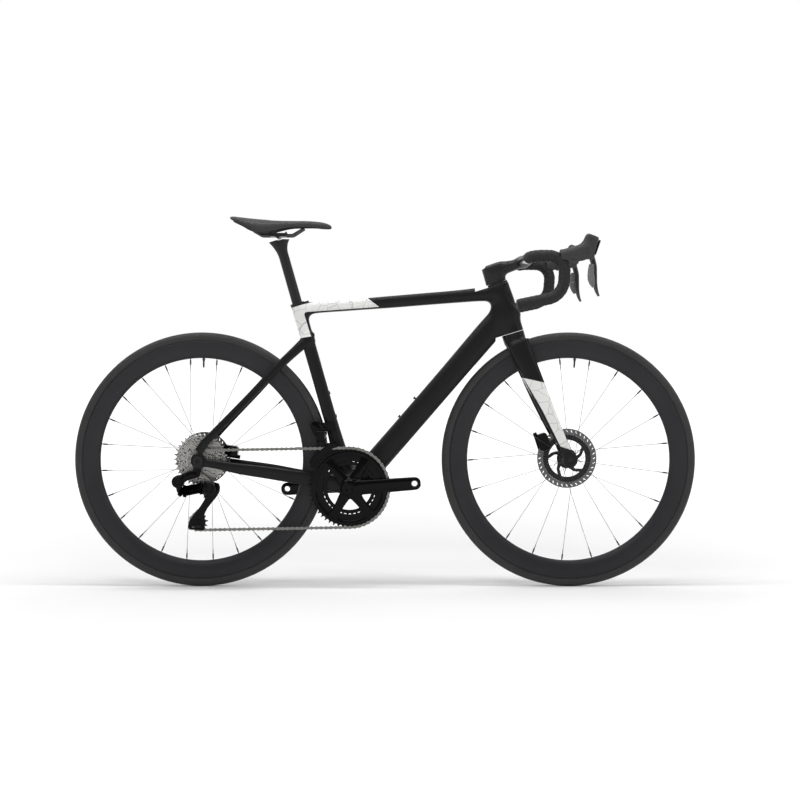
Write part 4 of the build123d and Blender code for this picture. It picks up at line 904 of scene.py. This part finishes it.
TAPE, HOOD = tape_rubber(), hood_rubber()
LEVER_PAINT = surface("lever_gloss", (0.006, 0.006, 0.0066), 0.14, grain=1600, spread=0.03, depth=0.004,
                      Coat_Weight=0.6, Coat_Roughness=0.05, Specular_IOR_Level=0.4)
attach(build_cockpit(), "fork_bar", "carbon_frame", cockpit_paint(), "cockpit")
for side, sign in (("left", 1), ("right", -1)):
    wound = tube("bar_tape_" + side, bar_path(sign, 168), 1.1, 40, wrapped)
    attach(wound, "fork_bar", "rubber_tape", TAPE, *(["bar_tape"] if side == "left" else []))
    plug = tube("bar_plug_" + side, np.array([(341.3, sign * 212, 744.5), (339.0, sign * 212, 744.0), (337.2, sign * 212, 743.7)]),
                0.6, 40, lambda s, angles: np.full(len(angles), 14.6 - 0.35 * s))
    attach(plug, "fork_bar", "black_plastic", PLASTIC)
    attach(build_hood(side, sign), "fork_bar", "rubber_tape", HOOD, "hood_" + side)
    attach(build_hood_panel(side, sign), "fork_bar", "gloss_black", GLOSS)
    attach(build_lever(side, sign), "lever_" + side, "gloss_black", LEVER_PAINT, "lever_" + side)


# ---------------------------------------------------------------- saddle and post
def build_saddle():
    """Thin padded shell: raised tail, drooping skirts, slim nose and a shallow relief channel."""
    table = [
        (-412.5, 985.5, 982.0, 24, 0.5), (-408, 986.6, 976.5, 40, 1.0), (-401, 986.4, 973.0, 52, 2.0), (-387, 984.6, 966.5, 63, 2.6),
        (-374, 983.2, 959.0, 69, 3.0), (-360, 981.6, 952.5, 71.5, 3.2), (-345, 980.4, 944.5, 71, 3.4), (-332, 979.4, 940.2, 66, 3.5),
        (-318, 978.4, 942.2, 58, 3.5), (-300, 976.8, 946.8, 49, 3.3), (-280, 976.2, 951.2, 39, 3.0), (-254, 976.0, 956.2, 31, 2.7),
        (-227, 976.0, 957.6, 26, 2.5), (-200, 975.2, 957.6, 22.5, 2.3), (-180, 973.6, 956.8, 20, 2.1), (-162, 970.6, 955.0, 17.5, 1.8),
        (-150, 966.4, 954.6, 14, 1.2), (-145, 963.4, 955.4, 10, 0.6), (-143, 960.6, 957.2, 5, 0.2)]
    knots = np.array([row[0] for row in table])
    xs = np.interp(np.linspace(0, 1, 150), np.linspace(0, 1, len(knots)), knots)
    rows = smooth_rows(xs, table)
    around = 64
    outer = np.linspace(0, math.pi, around)
    verts = []
    for x, (top, low, half, droop) in zip(xs, rows):
        c, s = np.cos(outer), np.sin(outer)
        y = half * np.sign(c) * np.abs(c) ** 0.72
        z = low + (top - low) * s ** 0.62
        channel = 2.2 * math.exp(-((x + 290) / 70) ** 4)
        z = z - channel * np.exp(-(y / 9.0) ** 2)
        thick = min(5.0, 0.42 * (top - low))
        inner_half = max(half - 3.0, half * 0.55)
        yi = inner_half * np.sign(c[::-1]) * np.abs(c[::-1]) ** 0.72
        zi = low + 0.4 + (top - low - thick) * s[::-1] ** 0.62 * 0.72
        ring = np.concatenate([np.stack([np.full(around, x), y, z], 1), np.stack([np.full(around, x), yi, zi], 1)])
        verts.append(ring)
    verts = np.array(verts)
    count, sides = verts.shape[:2]
    flat = verts.reshape(-1, 3)
    caps = np.array([verts[0].mean(axis=0), verts[-1].mean(axis=0)])
    faces = grid_faces(count, sides, False, True)
    for k in range(sides):
        faces.append([count * sides, (k + 1) % sides, k])
        faces.append([count * sides + 1, (count - 1) * sides + k, (count - 1) * sides + (k + 1) % sides])
    return mesh_object("saddle_skin", np.vstack([flat, caps]) * MM, faces, sharp=50)


def saddle_leather():
    """Matt synthetic cover with a fine pebbled grain, darker below a line along each flank."""
    shade = Shade("saddle_leather", 0.5, Specular_IOR_Level=0.35)
    pebble, broad = shade.cells(1100), shade.noise(22, 3)
    base = shade.mix(broad, (0.016, 0.016, 0.0165), (0.026, 0.026, 0.027))
    # Darker below a line along each flank, towards the underside.
    under = shade.step(shade.scaled(shade.total(shade.z, shade.scaled(shade.x, -0.02)), -1, 953), 3)
    shade.set("Base Color", shade.mix(shade.scaled(under, 0.5), base, (0.009, 0.009, 0.009)))
    shade.set("Roughness", shade.scaled(pebble, 0.2, 0.42))
    shade.bump(pebble, 0.12)
    return shade.material


def build_post():
    """Aero post flaring into a scooped head."""
    post = beam((-193.8, 612), (-283.4, 926), [
        (0, 0, 0, 13.5, 10.5, 2.1), (0.84, 0, 0, 13.5, 10.5, 2.1), (0.91, 0.8, 0, 15.6, 10.6, 2.3), (0.96, 0.2, 0, 22, 10.8, 2.6),
        (1, -2.6, 0, 31, 11, 3.0)])
    scoop = drum((-284, 0, 938.5), (0, 1, 0), 14.5, 30)
    level = lambda points: 927 - points[:, 2]
    shape = cut(post, scoop, level, blend=1.2)
    return skin("seatpost_skin", shape, (-322, -13, 608), (-176, 13, 932), 1.0)


SADDLE = saddle_leather()
attach(build_saddle(), "saddle", "saddle_cover", SADDLE, "saddle")
attach(build_post(), "seatpost", "carbon_frame", MATT, "seatpost")


# ---------------------------------------------------------------- cranks and rings
CRANK_TILT = 4.2


def crank_point(radius, degrees):
    """Side-view point about the bracket, at an angle above +X."""
    turn = math.radians(degrees)
    return CRANK[0] + radius * math.cos(turn), CRANK[2] + radius * math.sin(turn)


def build_crank(side):
    """Hollow-forged arm with a crisp shoulder, and on the drive side the four-arm spider."""
    sign, turn = (1, CRANK_TILT + 180) if side == "left" else (-1, CRANK_TILT)
    root, tip = crank_point(0, turn), crank_point(172.5, turn)
    lean = 1 if side == "right" else -1
    arm = beam(root, crank_point(189, turn), [
        (0, 0, sign * 54, 20, 8, 2.6), (0.25, -0.8 * lean, sign * 58.3, 19, 7.6, 3.4), (0.45, -0.6 * lean, sign * 62.2, 18.4, 6.9, 3.6),
        (0.72, 0, sign * 65.4, 17.6, 6.7, 3.8), (0.92, 0, sign * 66.5, 17.0, 6.4, 3.6), (1, 0, sign * 66.6, 16.2, 6.0, 3.2)])
    rounding = drum((tip[0], sign * 66, tip[1]), (0, 1, 0), 17.4, 30)
    reach = np.array([math.cos(math.radians(turn)), math.sin(math.radians(turn))])
    beyond = lambda points: 172.5 - (points[:, [0, 2]] - CRANK[[0, 2]]) @ reach
    arm = cut(arm, lambda points: np.maximum(beyond(points), -rounding(points)), blend=1.2)
    boss = drum((CRANK[0], sign * 54.5, CRANK[2]), (0, 1, 0), 20.5, 7.5, 2)
    shape = union(arm, boss, blend=5)
    if side == "right":
        for angle in (56, 124, -56, -124):
            foot = crank_point(91, CRANK_TILT + angle)
            spoke = beam(root, foot, [
                (0, 0, -52, 18, 6, 2.6), (0.35, 0, -52.4, 14.2, 5.0, 3), (0.62, 0, -52.2, 12.0, 4.2, 3.4), (0.85, 0, -51.6, 12.4, 3.7, 3.6),
                (1, 0, -51.0, 14.5, 3.2, 3.6)])
            shape = union(shape, spoke, blend=7)
        flute = beam(crank_point(28, turn), crank_point(150, turn), [
            (0, 6.5, -72.6, 3, 2.2, 2), (0.5, 6.8, -72.8, 3.4, 1.2, 2), (1, 5.5, -73.6, 2, 1.0, 2)])
        spindle = drum((CRANK[0], -2, CRANK[2]), (0, 1, 0), 12, 57.5)
        shape = union(shape, spindle, blend=1)
        shape = cut(shape, drum((CRANK[0], 0, CRANK[2]), (0, 1, 0), 9, 90), blend=1)
        cap = drum((CRANK[0], -60.2, CRANK[2]), (0, 1, 0), 9.6, 1.4, 0.7)
        shape = union(shape, cap)
    else:
        shape = cut(shape, drum((CRANK[0], 46, CRANK[2]), (0, 1, 0), 12.05, 11), blend=0.6)
    shape = cut(shape, drum((tip[0], sign * 66, tip[1]), (0, 1, 0), 7.3, 30), blend=0.8)
    low_y, high_y = (44, 76) if side == "left" else (-76, 58)
    corners = np.array([crank_point(0, 0), tip])
    low, high = corners.min(axis=0) - 24, corners.max(axis=0) + 24
    if side == "right":
        low, high = np.minimum(low, (CRANK[0] - 75, CRANK[2] - 92)), np.maximum(high, (0, CRANK[2] + 95))
    return skin("crank_skin_" + side, shape, (low[0], low_y, low[1]), (high[0], high_y, high[1]), 1.2)


def build_ring_cover():
    """Hollow-looking outer face of the big ring with a bevelled inner edge."""
    profile = [(99.0, -48.0), (99.2, -50.4), (98.0, -51.8), (92.5, -52.4), (88.0, -51.6), (85.6, -49.4), (85.4, -47.2), (90, -46.9)]
    return lathe("ring_cover", CRANK, profile, 240, sharp=35)


def build_pedal_insert(side):
    """Steel thread insert with its turns cut inside the arm's end."""
    sign, turn = (1, CRANK_TILT + 180) if side == "left" else (-1, CRANK_TILT)
    tip = crank_point(172.5, turn)
    profile = [(8.6, sign * 73.0), (7.5, sign * 73.0)]
    for k in range(10):
        profile += [(7.16, sign * (72.4 - k * 1.27)), (7.55, sign * (71.8 - k * 1.27))]
    profile += [(8.6, sign * 60.2)]
    profile = profile if sign > 0 else profile[::-1]
    return lathe("pedal_insert_" + side, (tip[0], 0, tip[1]), profile, 48, sharp=30)


attach(build_crank("right"), "crankset", "gloss_black", GLOSS, "crank_right")
attach(build_crank("left"), "crankset", "gloss_black", GLOSS, "crank_left")
for name, inner, outer, y, half in (("ring_shroud", 70.4, 86.5, -46.6, 0.8), ("inner_ring_web", 59.5, 66.4, -38.4, 1.1)):
    web = lathe(name, CRANK, [(outer, y + half), (outer, y - half + 0.3), (outer - 0.4, y - half), (inner + 0.4, y - half),
                              (inner, y - half + 0.3), (inner, y + half)], 180, sharp=30)
    attach(web, "crankset", "gloss_black", GLOSS)
attach(build_ring_cover(), "crankset", "gloss_black", GLOSS)
for side in ("right", "left"):
    attach(build_pedal_insert(side), "crankset", "polished_steel", STEEL)


# ---------------------------------------------------------------- hubs and spokes
def spoke_ends(node):
    """Ends of every spoke of a wheel, read from the loose parts of its CAD node."""
    item = frame["nodes"][node]
    verts = np.array([item.matrix_world @ v.co for v in item.data.vertices]) / MM
    parent = list(range(len(verts)))

    def find(k):
        while parent[k] != k:
            parent[k] = parent[parent[k]]
            k = parent[k]
        return k

    _, same = np.unique(np.round(verts, 2), axis=0, return_inverse=True)
    first = {}
    for k, key in enumerate(same.ravel()):
        parent[find(k)] = find(first.setdefault(key, k))
    for edge in item.data.edges:
        parent[find(edge.vertices[0])] = find(edge.vertices[1])
    groups = {}
    for k in range(len(verts)):
        groups.setdefault(find(k), []).append(k)
    ends = []
    for group in groups.values():
        cloud = verts[group]
        middle = cloud.mean(axis=0)
        _, _, axes = np.linalg.svd(cloud - middle)
        along = (cloud - middle) @ axes[0]
        ends.append((middle + axes[0] * along.min(), middle + axes[0] * along.max()))
    return ends


def build_spokes(name, node, centre):
    """Bladed spokes, round at both ends, each with a nipple at the rim."""
    pieces = []
    for index, (a, b) in enumerate(spoke_ends(node)):
        if np.hypot(*(a - centre)[[0, 2]]) > np.hypot(*(b - centre)[[0, 2]]):
            a, b = b, a
        length = np.linalg.norm(b - a)
        way = (b - a) / length
        across = np.cross(way, (0, 1, 0))
        across /= np.linalg.norm(across)
        side = np.cross(way, across)
        rings = []
        for s, wide, thick in ((0, 1.15, 1.15), (14, 1.1, 1.1), (24, 1.15, 0.55), (length - 34, 1.15, 0.55), (length - 24, 1.05, 1.05),
                               (length - 17, 1.05, 1.05), (length - 16.5, 1.9, 1.9), (length - 12, 2.0, 2.0), (length - 4, 2.0, 2.0),
                               (length - 3.5, 1.2, 1.2), (length, 1.1, 1.1)):
            turn = np.arange(10) * 2 * math.pi / 10
            rings.append(a + way * s + np.outer(np.cos(turn) * thick, across) + np.outer(np.sin(turn) * wide, side))
        flat = np.concatenate(rings)
        faces = grid_faces(len(rings), 10, False, True)
        faces.append(list(range(10))[::-1])
        faces.append([len(flat) - 10 + k for k in range(10)])
        pieces.append(mesh_object(name, flat * MM, faces, sharp=40))
    return join(name, pieces)


def hub_profile(flanges, ends, barrel, sign=1):
    """Turned hub shell: end caps, two flanges and a waisted barrel between them."""
    low, high = flanges
    return [(6.1, ends[0]), (9.2, ends[0]), (10.0, ends[0] + 1), (10.0, low - 6), (13.0, low - 4.5), (14.2, low - 2.6), (18.6, low - 2.2),
            (20.6, low - 1.2), (20.8, low + 0.6), (19.6, low + 1.8), (15.6, low + 3.2), (barrel + 1.6, low + 7), (barrel, low + 13),
            (barrel, high - 13), (barrel + 1.6, high - 7), (15.6, high - 3.2), (19.6, high - 1.8), (20.8, high - 0.6), (20.6, high + 1.2),
            (18.6, high + 2.2), (14.2, high + 2.6), (13.0, high + 4.5), (10.0, high + 6), (10.0, ends[1] - 1), (9.2, ends[1]), (6.1, ends[1])]


for end, centre in (("front", FRONT), ("rear", REAR)):
    attach(build_spokes(end + "_spoke_set", end + "_spokes", centre), end + "_wheel", "spoke_steel", SPOKE, end + "_spokes")


# ---------------------------------------------------------------- shift paddles
def build_paddle(node, side, sign, high):
    """Thin curved paddle on the outer face of the blade."""
    y = sign * 207.5
    if high:
        outline = [(520.5, 848.5), (533, 849), (533.6, 823.3), (528, 822.0), (516.5, 821.0), (517.5, 832)]
    else:
        outline = [(516.5, 820.8), (528, 821.8), (533.8, 823.1), (535.6, 806), (534.5, 791.8), (528.6, 788.2), (521.5, 797), (516.8, 809)]
    face = plate(outline, y, 1.5, 0.7)
    px, pz = ((529.5, 838.0), (530.5, 806.0))[0 if high else 1]
    pin = drum((px, y - sign * 3, pz), (0, 1, 0), 1.5, 4.4)
    rib = beam((520, 844) if high else (521, 818), (521, 826) if high else (526, 793),
               [(0, 0, y + sign * 1.4, 1.2, 0.6, 2), (1, 0, y + sign * 1.4, 1.2, 0.6, 2)])
    shape = union(union(face, rib, blend=0.6), pin)
    low, top = (513, y - 6.5, 786), (538, y + 6.5, 852)
    return skin(node + "_skin", shape, low, top, 0.6)


PADDLE = surface("paddle_grey", (0.16, 0.162, 0.165), 0.34, 0.5, grain=1500, depth=0.006, Coat_Weight=0.2, Coat_Roughness=0.1)
for side, sign in (("left", 1), ("right", -1)):
    for which in ("up", "down"):
        node = f"shift_{which}_{side}"
        attach(build_paddle(node, side, sign, which == "up"), node, "gloss_black", PADDLE, node)


# ---------------------------------------------------------------- cassette and rotors
def cog_steel():
    """Nickel-plated sprockets with painted shade: a dark ring in the recess inside each row of teeth, darker ramp marks
    in it, and dark spot marks painted for pierced holes and stamped dimples.
    """
    shade = Shade("cog_steel", 0.3, 1.0)
    angle, radius = shade.around(REAR)
    # Painted shade: a dark ring at the root of each row of teeth, where one cog steps down to the next.
    groove = shade.step(shade.scaled(shade.wave(radius, 4.04), 1, -0.62), 0.3)
    # Painted shade: dark spot marks stand in for pierced holes and stamped dimples.
    hole_shade_spots = shade.step(shade.scaled(shade.cells(170), -1, 0.34), 0.08)
    # Painted shade: darker ramp marks, kept inside the recess rings.
    ramp_shade = shade.step(shade.scaled(shade.wave(shade.total(shade.scaled(angle, 30), shade.scaled(radius, 0.5)), 5.2), 1, -0.7), 0.2)
    dark = shade.most(shade.scaled(groove, 0.75), hole_shade_spots, shade.calc("MULTIPLY", ramp_shade, groove))
    shade.set("Base Color", shade.mix(dark, (0.62, 0.61, 0.59), (0.012, 0.012, 0.012)))
    fine = shade.noise(900, 3)
    shade.set("Roughness", shade.scaled(fine, 0.2, 0.2))
    shade.bump(shade.total(fine, shade.scaled(dark, -1)), 0.15)
    return shade.material


def rotor_metal(name, centre, band):
    """Ground steel band outside a black ring and arms, the ring's cooling fin relief painted as lighter and darker
    stripes.
    """
    shade = Shade(name, 0.34, 0.9)
    angle, radius = shade.around(centre)
    outside = shade.step(shade.scaled(radius, 1, -(band - 15.6)))
    # Painted light and shade: stripes round the black ring stand in for the lit and shaded faces of each fin.
    fin_light_and_shade = shade.step(shade.scaled(shade.wave(shade.scaled(angle, band - 20), 4.6), 1, -0.5), 0.3)
    black = shade.mix(fin_light_and_shade, (0.012, 0.012, 0.013), (0.05, 0.05, 0.053))
    circles = shade.noise(700, 2, (1, 1, 1))
    bright = shade.mix(shade.blend(0.6, shade.wave(radius, 1.3), circles), (0.08, 0.08, 0.08), (0.2, 0.2, 0.2))
    shade.set("Base Color", shade.mix(outside, black, bright))
    shade.set("Roughness", shade.scaled(circles, 0.15, 0.26))
    shade.bump(shade.wave(radius, 0.8), 0.01)
    return shade.material


for node, material in (("cassette_cogs", cog_steel()), ("front_rotor", rotor_metal("front_rotor_metal", FRONT, 80)),
                       ("rear_rotor", rotor_metal("rear_rotor_metal", REAR, 70))):
    for slot in frame["nodes"][node].material_slots:
        slot.material = material


# ---------------------------------------------------------------- derailleurs
def extent(node):
    """Lowest and highest corner of a CAD node."""
    item = frame["nodes"][node]
    verts = np.array([item.matrix_world @ v.co for v in item.data.vertices]) / MM
    return verts.min(axis=0), verts.max(axis=0)


def hex_bolt(name, centre, radius, depth, socket):
    """Round bolt head facing the drive side, with a hexagonal recess."""
    head = drum(centre, (0, 1, 0), radius, depth, min(0.8, depth / 2))
    face = np.array(centre) - (0, depth, 0)
    turns = np.arange(6) * math.pi / 3
    recess = plate([(face[0] + socket * math.cos(a), face[2] + socket * math.sin(a)) for a in turns], face[1], depth * 0.9, 0.1)
    low, high = np.array(centre) - (radius + 2, depth + 2, radius + 2), np.array(centre) + (radius + 2, depth + 2, radius + 2)
    return skin(name, cut(head, recess, blend=0.2), low, high, 0.5)


def build_rd_cage():
    """Long outer cage plate with a windowed foot, and the plain plate behind the chain."""
    pivot, guide, tension = joint_at("rd_cage_swing"), joint_at("guide_pulley_spin"), joint_at("tension_pulley_spin")
    y = sum(extent("tension_pulley"))[1] / 2
    outer = plate([(-470, 281), (-452, 283), (-437, 279), (-434, 268), (-436, 256), (-446, 240), (-458, 226), (-468, 213), (-475, 199),
                   (-476, 180), (-474, 160), (-477, 155), (-504, 156), (-516, 157), (-519.5, 163), (-516, 180), (-501, 200),
                   (-487, 218), (-477, 234), (-470, 250), (-474, 266)], y - 5.2, 1.0, 0.6)
    outer = union(outer, drum((guide[0], y - 5.2, guide[2]), (0, 1, 0), 13, 1.0, 0.5), blend=2)
    windows = (plate([(-505, 171), (-490, 193), (-487, 173)], y - 5.2, 3, 0.1),
               plate([(-511, 162), (-504, 167), (-486, 168), (-483, 160)], y - 5.2, 3, 0.1))
    core = drum((tension[0], y - 5.2, tension[2]), (0, 1, 0), 7.5, 1.0, 0.4)
    outer = union(cut(outer, *windows, blend=0.5), core, blend=1)
    inner = plate([(-472, 268), (-461, 280), (-450, 268), (-458, 238), (-480, 195), (-481, 178), (-491, 166), (-503, 176),
                   (-497, 192), (-476, 236)], y + 5.0, 0.9, 0.5)
    inner = union(inner, drum((guide[0], y + 5.0, guide[2]), (0, 1, 0), 13, 0.9, 0.4))
    shape = union(outer, inner)
    for at in (guide, tension):
        shape = union(shape, drum((at[0], y, at[2]), (0, 1, 0), 3.0, 6.4, 0.5))
    shape = union(shape, drum((pivot[0], y - 6.5, pivot[2]), (0, 1, 0), 11.0, 1.4, 0.4), blend=0.5)
    return skin("rd_cage_skin", shape, (-523, y - 9, 150), (-430, y + 8, 300), 0.75)


def build_rd_b_cover():
    """Rounded housing of the upper knuckle, from its rear end to the hanger bolt."""
    rear = drum((-541, -84.5, 285.6), (0, 1, 0), 16.5, 13.5, 3.0)
    ring = drum((-541, -98.6, 285.6), (0, 1, 0), 12.5, 1.4, 0.8)
    arm = beam((-541, 287), (-493, 307), [
        (0, 0, -86, 13.5, 10, 2.6), (0.35, 2.5, -90, 10.5, 8.5, 2.8), (0.7, 0.5, -92.5, 9.6, 7.0, 2.8), (1, 0, -93.5, 10.5, 6.0, 2.6)])
    groove = beam((-530, 289), (-500, 303), [(0, 0, -100.4, 2.0, 1.6, 2), (1, 0, -100.6, 2.0, 1.6, 2)])
    eye = drum((-492.6, -91.5, 308.0), (0, 1, 0), 11.0, 7.6, 1.6)
    shape = union(union(rear, arm, blend=5), eye, blend=3)
    shape = union(cut(shape, groove, blend=1), ring, blend=0.6)
    shape = cut(shape, drum((-541, -100, 285.6), (0, 1, 0), 8.5, 0.9), blend=0.4)
    return skin("rd_b_cover", shape, (-561, -103, 266), (-478, -68, 322), 0.9)


def build_rd_p_cover():
    """Rounded spring housing of the lower knuckle."""
    pivot = joint_at("rd_cage_swing")
    high = extent("rd_p_knuckle")[0][1]
    y = (pivot[1] + high) / 2
    top = sum(extent("tension_pulley"))[1] / 2 - 8.6
    half = (top - high) / 2
    middle = (top + high) / 2
    barrel = drum((pivot[0] + 1, middle, pivot[2]), (0, 1, 0), 17.0, half, 3.2)
    cap = drum((pivot[0] + 1, high - 0.2, pivot[2]), (0, 1, 0), 10.5, 1.4, 0.7)
    shape = union(barrel, cap, blend=0.8)
    shape = cut(shape, drum((pivot[0] + 1, high - 1.6, pivot[2]), (0, 1, 0), 7.6, 0.8), blend=0.4)
    return skin("rd_p_cover", shape, (pivot[0] - 19, high - 4, pivot[2] - 20), (pivot[0] + 21, top + 2, pivot[2] + 20), 0.9)


def build_fd_cage():
    """Narrow curved plates either side of the chain, bridged above it and hung from two ears."""
    low, high = extent("fd_cage")
    near, far = low[1] + 0.6, high[1] - 0.6
    centre = (CRANK[0], near, CRANK[2])
    outline = [(-199, 322), (-190, 318), (-124, 364), (-126, 381), (-140, 384), (-152, 381), (-168, 368), (-184, 350), (-198, 333)]
    outer = cut(plate(outline, near, 0.6, 0.3), drum(centre, (0, 1, 0), 112.2, 20), blend=0.3)
    ridge = cut(drum(centre, (0, 1, 0), 118.6, 1.0, 0.4), drum(centre, (0, 1, 0), 116.8, 9), blend=0.2)
    ridge = cut(ridge, slab((-130, 0, 372), (1, 0, 0.2)), slab((-196, 0, 330), (-1, 0, -1)), blend=0.4)
    shape = union(outer, ridge, blend=0.6)
    inner_outline = [(-199, 320), (-186, 318), (-124, 360), (-126, 382), (-150, 385), (-170, 374), (-190, 354), (-201, 336)]
    inner = cut(plate(inner_outline, high[1] - 0.6 if high[1] > near + 5 else far, 0.6, 0.3), drum(centre, (0, 1, 0), 96, 40), blend=0.3)
    shape = union(shape, inner)
    span = (near + far) / 2, abs(far - near) / 2 + 0.5
    shape = union(shape, plate([(-152, 385), (-126, 382.5), (-126, 379.4), (-152, 381)], span[0], span[1], 0.3), blend=0.8)
    shape = union(shape, drum((-193, span[0], 331), (0, 1, 0), 3.6, span[1], 0.4), blend=0.5)
    for end in (-180.4, -155.6):
        shape = union(shape, block((end, -48, 386), (1.5, 4.5, 9.6), 0.8), blend=0.6)
    shape = union(shape, drum((-168, -48, 392), (1, 0, 0), 2.0, 12.6))
    return skin("fd_cage_skin", shape, (-204, low[1] - 2, 314), (-120, high[1] + 2, 398), 0.65)


attach(build_rd_cage(), "rd_cage", "gloss_black", GLOSS, "rd_cage")
attach(build_rd_b_cover(), "frame", "gloss_black", GLOSS)
attach(build_fd_cage(), "fd_cage", "gloss_black", GLOSS, "fd_cage")
attach(build_rd_p_cover(), "rd_p_knuckle", "gloss_black", GLOSS)


# ---------------------------------------------------------------- CAD nodes kept, with finished materials
KEPT = {
    "polished_steel": STEEL, "gloss_black": GLOSS, "dark_metal": DARK, "black_alloy": ALLOY,
    "black_plastic": PLASTIC, "spoke_steel": SPOKE, "brake_lining": LINING, "carbon_frame": MATT,
    "rubber_tape": PLASTIC, "saddle_cover": PLASTIC,
}
for node in frame["nodes"].values():
    for slot in node.material_slots:
        if slot.material and slot.material.name.split(".")[0] in KEPT:
            slot.material = KEPT[slot.material.name.split(".")[0]]


# ---------------------------------------------------------------- studio
def studio():
    """Pale floor, large soft lights and the camera at the photograph's place."""
    floor = mesh_object("floor", [(-90, -90, 0), (90, -90, 0), (90, 90, 0), (-90, 90, 0)], [[0, 1, 2, 3]], smooth=False)
    ground = Shade("floor_paper", 0.9)
    ground.set("Base Color", ground.mix(ground.noise(3, 2), (0.80, 0.80, 0.80), (0.815, 0.815, 0.815)))
    away = ground.calc("SQRT", ground.total(ground.calc("MULTIPLY", ground.x, ground.x), ground.calc("MULTIPLY", ground.y, ground.y)))
    ground.set("Emission Color", (1, 1, 1))
    ground.set("Emission Strength", ground.scaled(ground.calc("MULTIPLY_ADD", away, 1 / 2600, -0.35, clamp=True), 0.62))
    floor.data.materials.append(ground.material)
    world = bpy.data.worlds.new("studio")
    world.use_nodes = True
    tree = world.node_tree
    tree.nodes["Background"].inputs[0].default_value = (1, 1, 1, 1)
    parts = tree.nodes.new("ShaderNodeSeparateXYZ")
    tree.links.new(tree.nodes.new("ShaderNodeTexCoord").outputs["Generated"], parts.inputs[0])
    level = tree.nodes.new("ShaderNodeMapRange")
    level.interpolation_type = "SMOOTHSTEP"
    for value, socket in zip((-0.35, 0.5, 0.34, 1.0), list(level.inputs)[1:5]):
        socket.default_value = value
    tree.links.new(parts.outputs[1], level.inputs[0])
    tree.links.new(level.outputs[0], tree.nodes["Background"].inputs[1])
    scene = bpy.context.scene
    scene.world = world
    scene.view_settings.view_transform = "Standard"
    for name, place, size, power in (("key", (-1.0, -2.6, 3.2), (3.0, 0.5), 30), ("top", (0.0, -0.25, 2.6), (3.4, 0.35), 44),
                                     ("fill", (3.0, -2.2, 1.9), (0.8, 2.0), 16)):
        data = bpy.data.lights.new(name, "AREA")
        data.shape = "RECTANGLE"
        data.size, data.size_y = size
        data.energy = power
        light = bpy.data.objects.new(name, data)
        light.location = place
        light.rotation_euler = (Vector((0, 0, 0.5)) - Vector(place)).to_track_quat("-Z", "Y").to_euler()
        scene.collection.objects.link(light)
    lens = bpy.data.cameras.new("camera")
    lens.lens = 69.8
    lens.shift_y = -0.056
    camera = bpy.data.objects.new("camera", lens)
    camera.location = (0.040, -4.15, 0.617)
    camera.rotation_euler = (math.pi / 2, 0, 0)
    scene.collection.objects.link(camera)
    scene.camera = camera


studio()
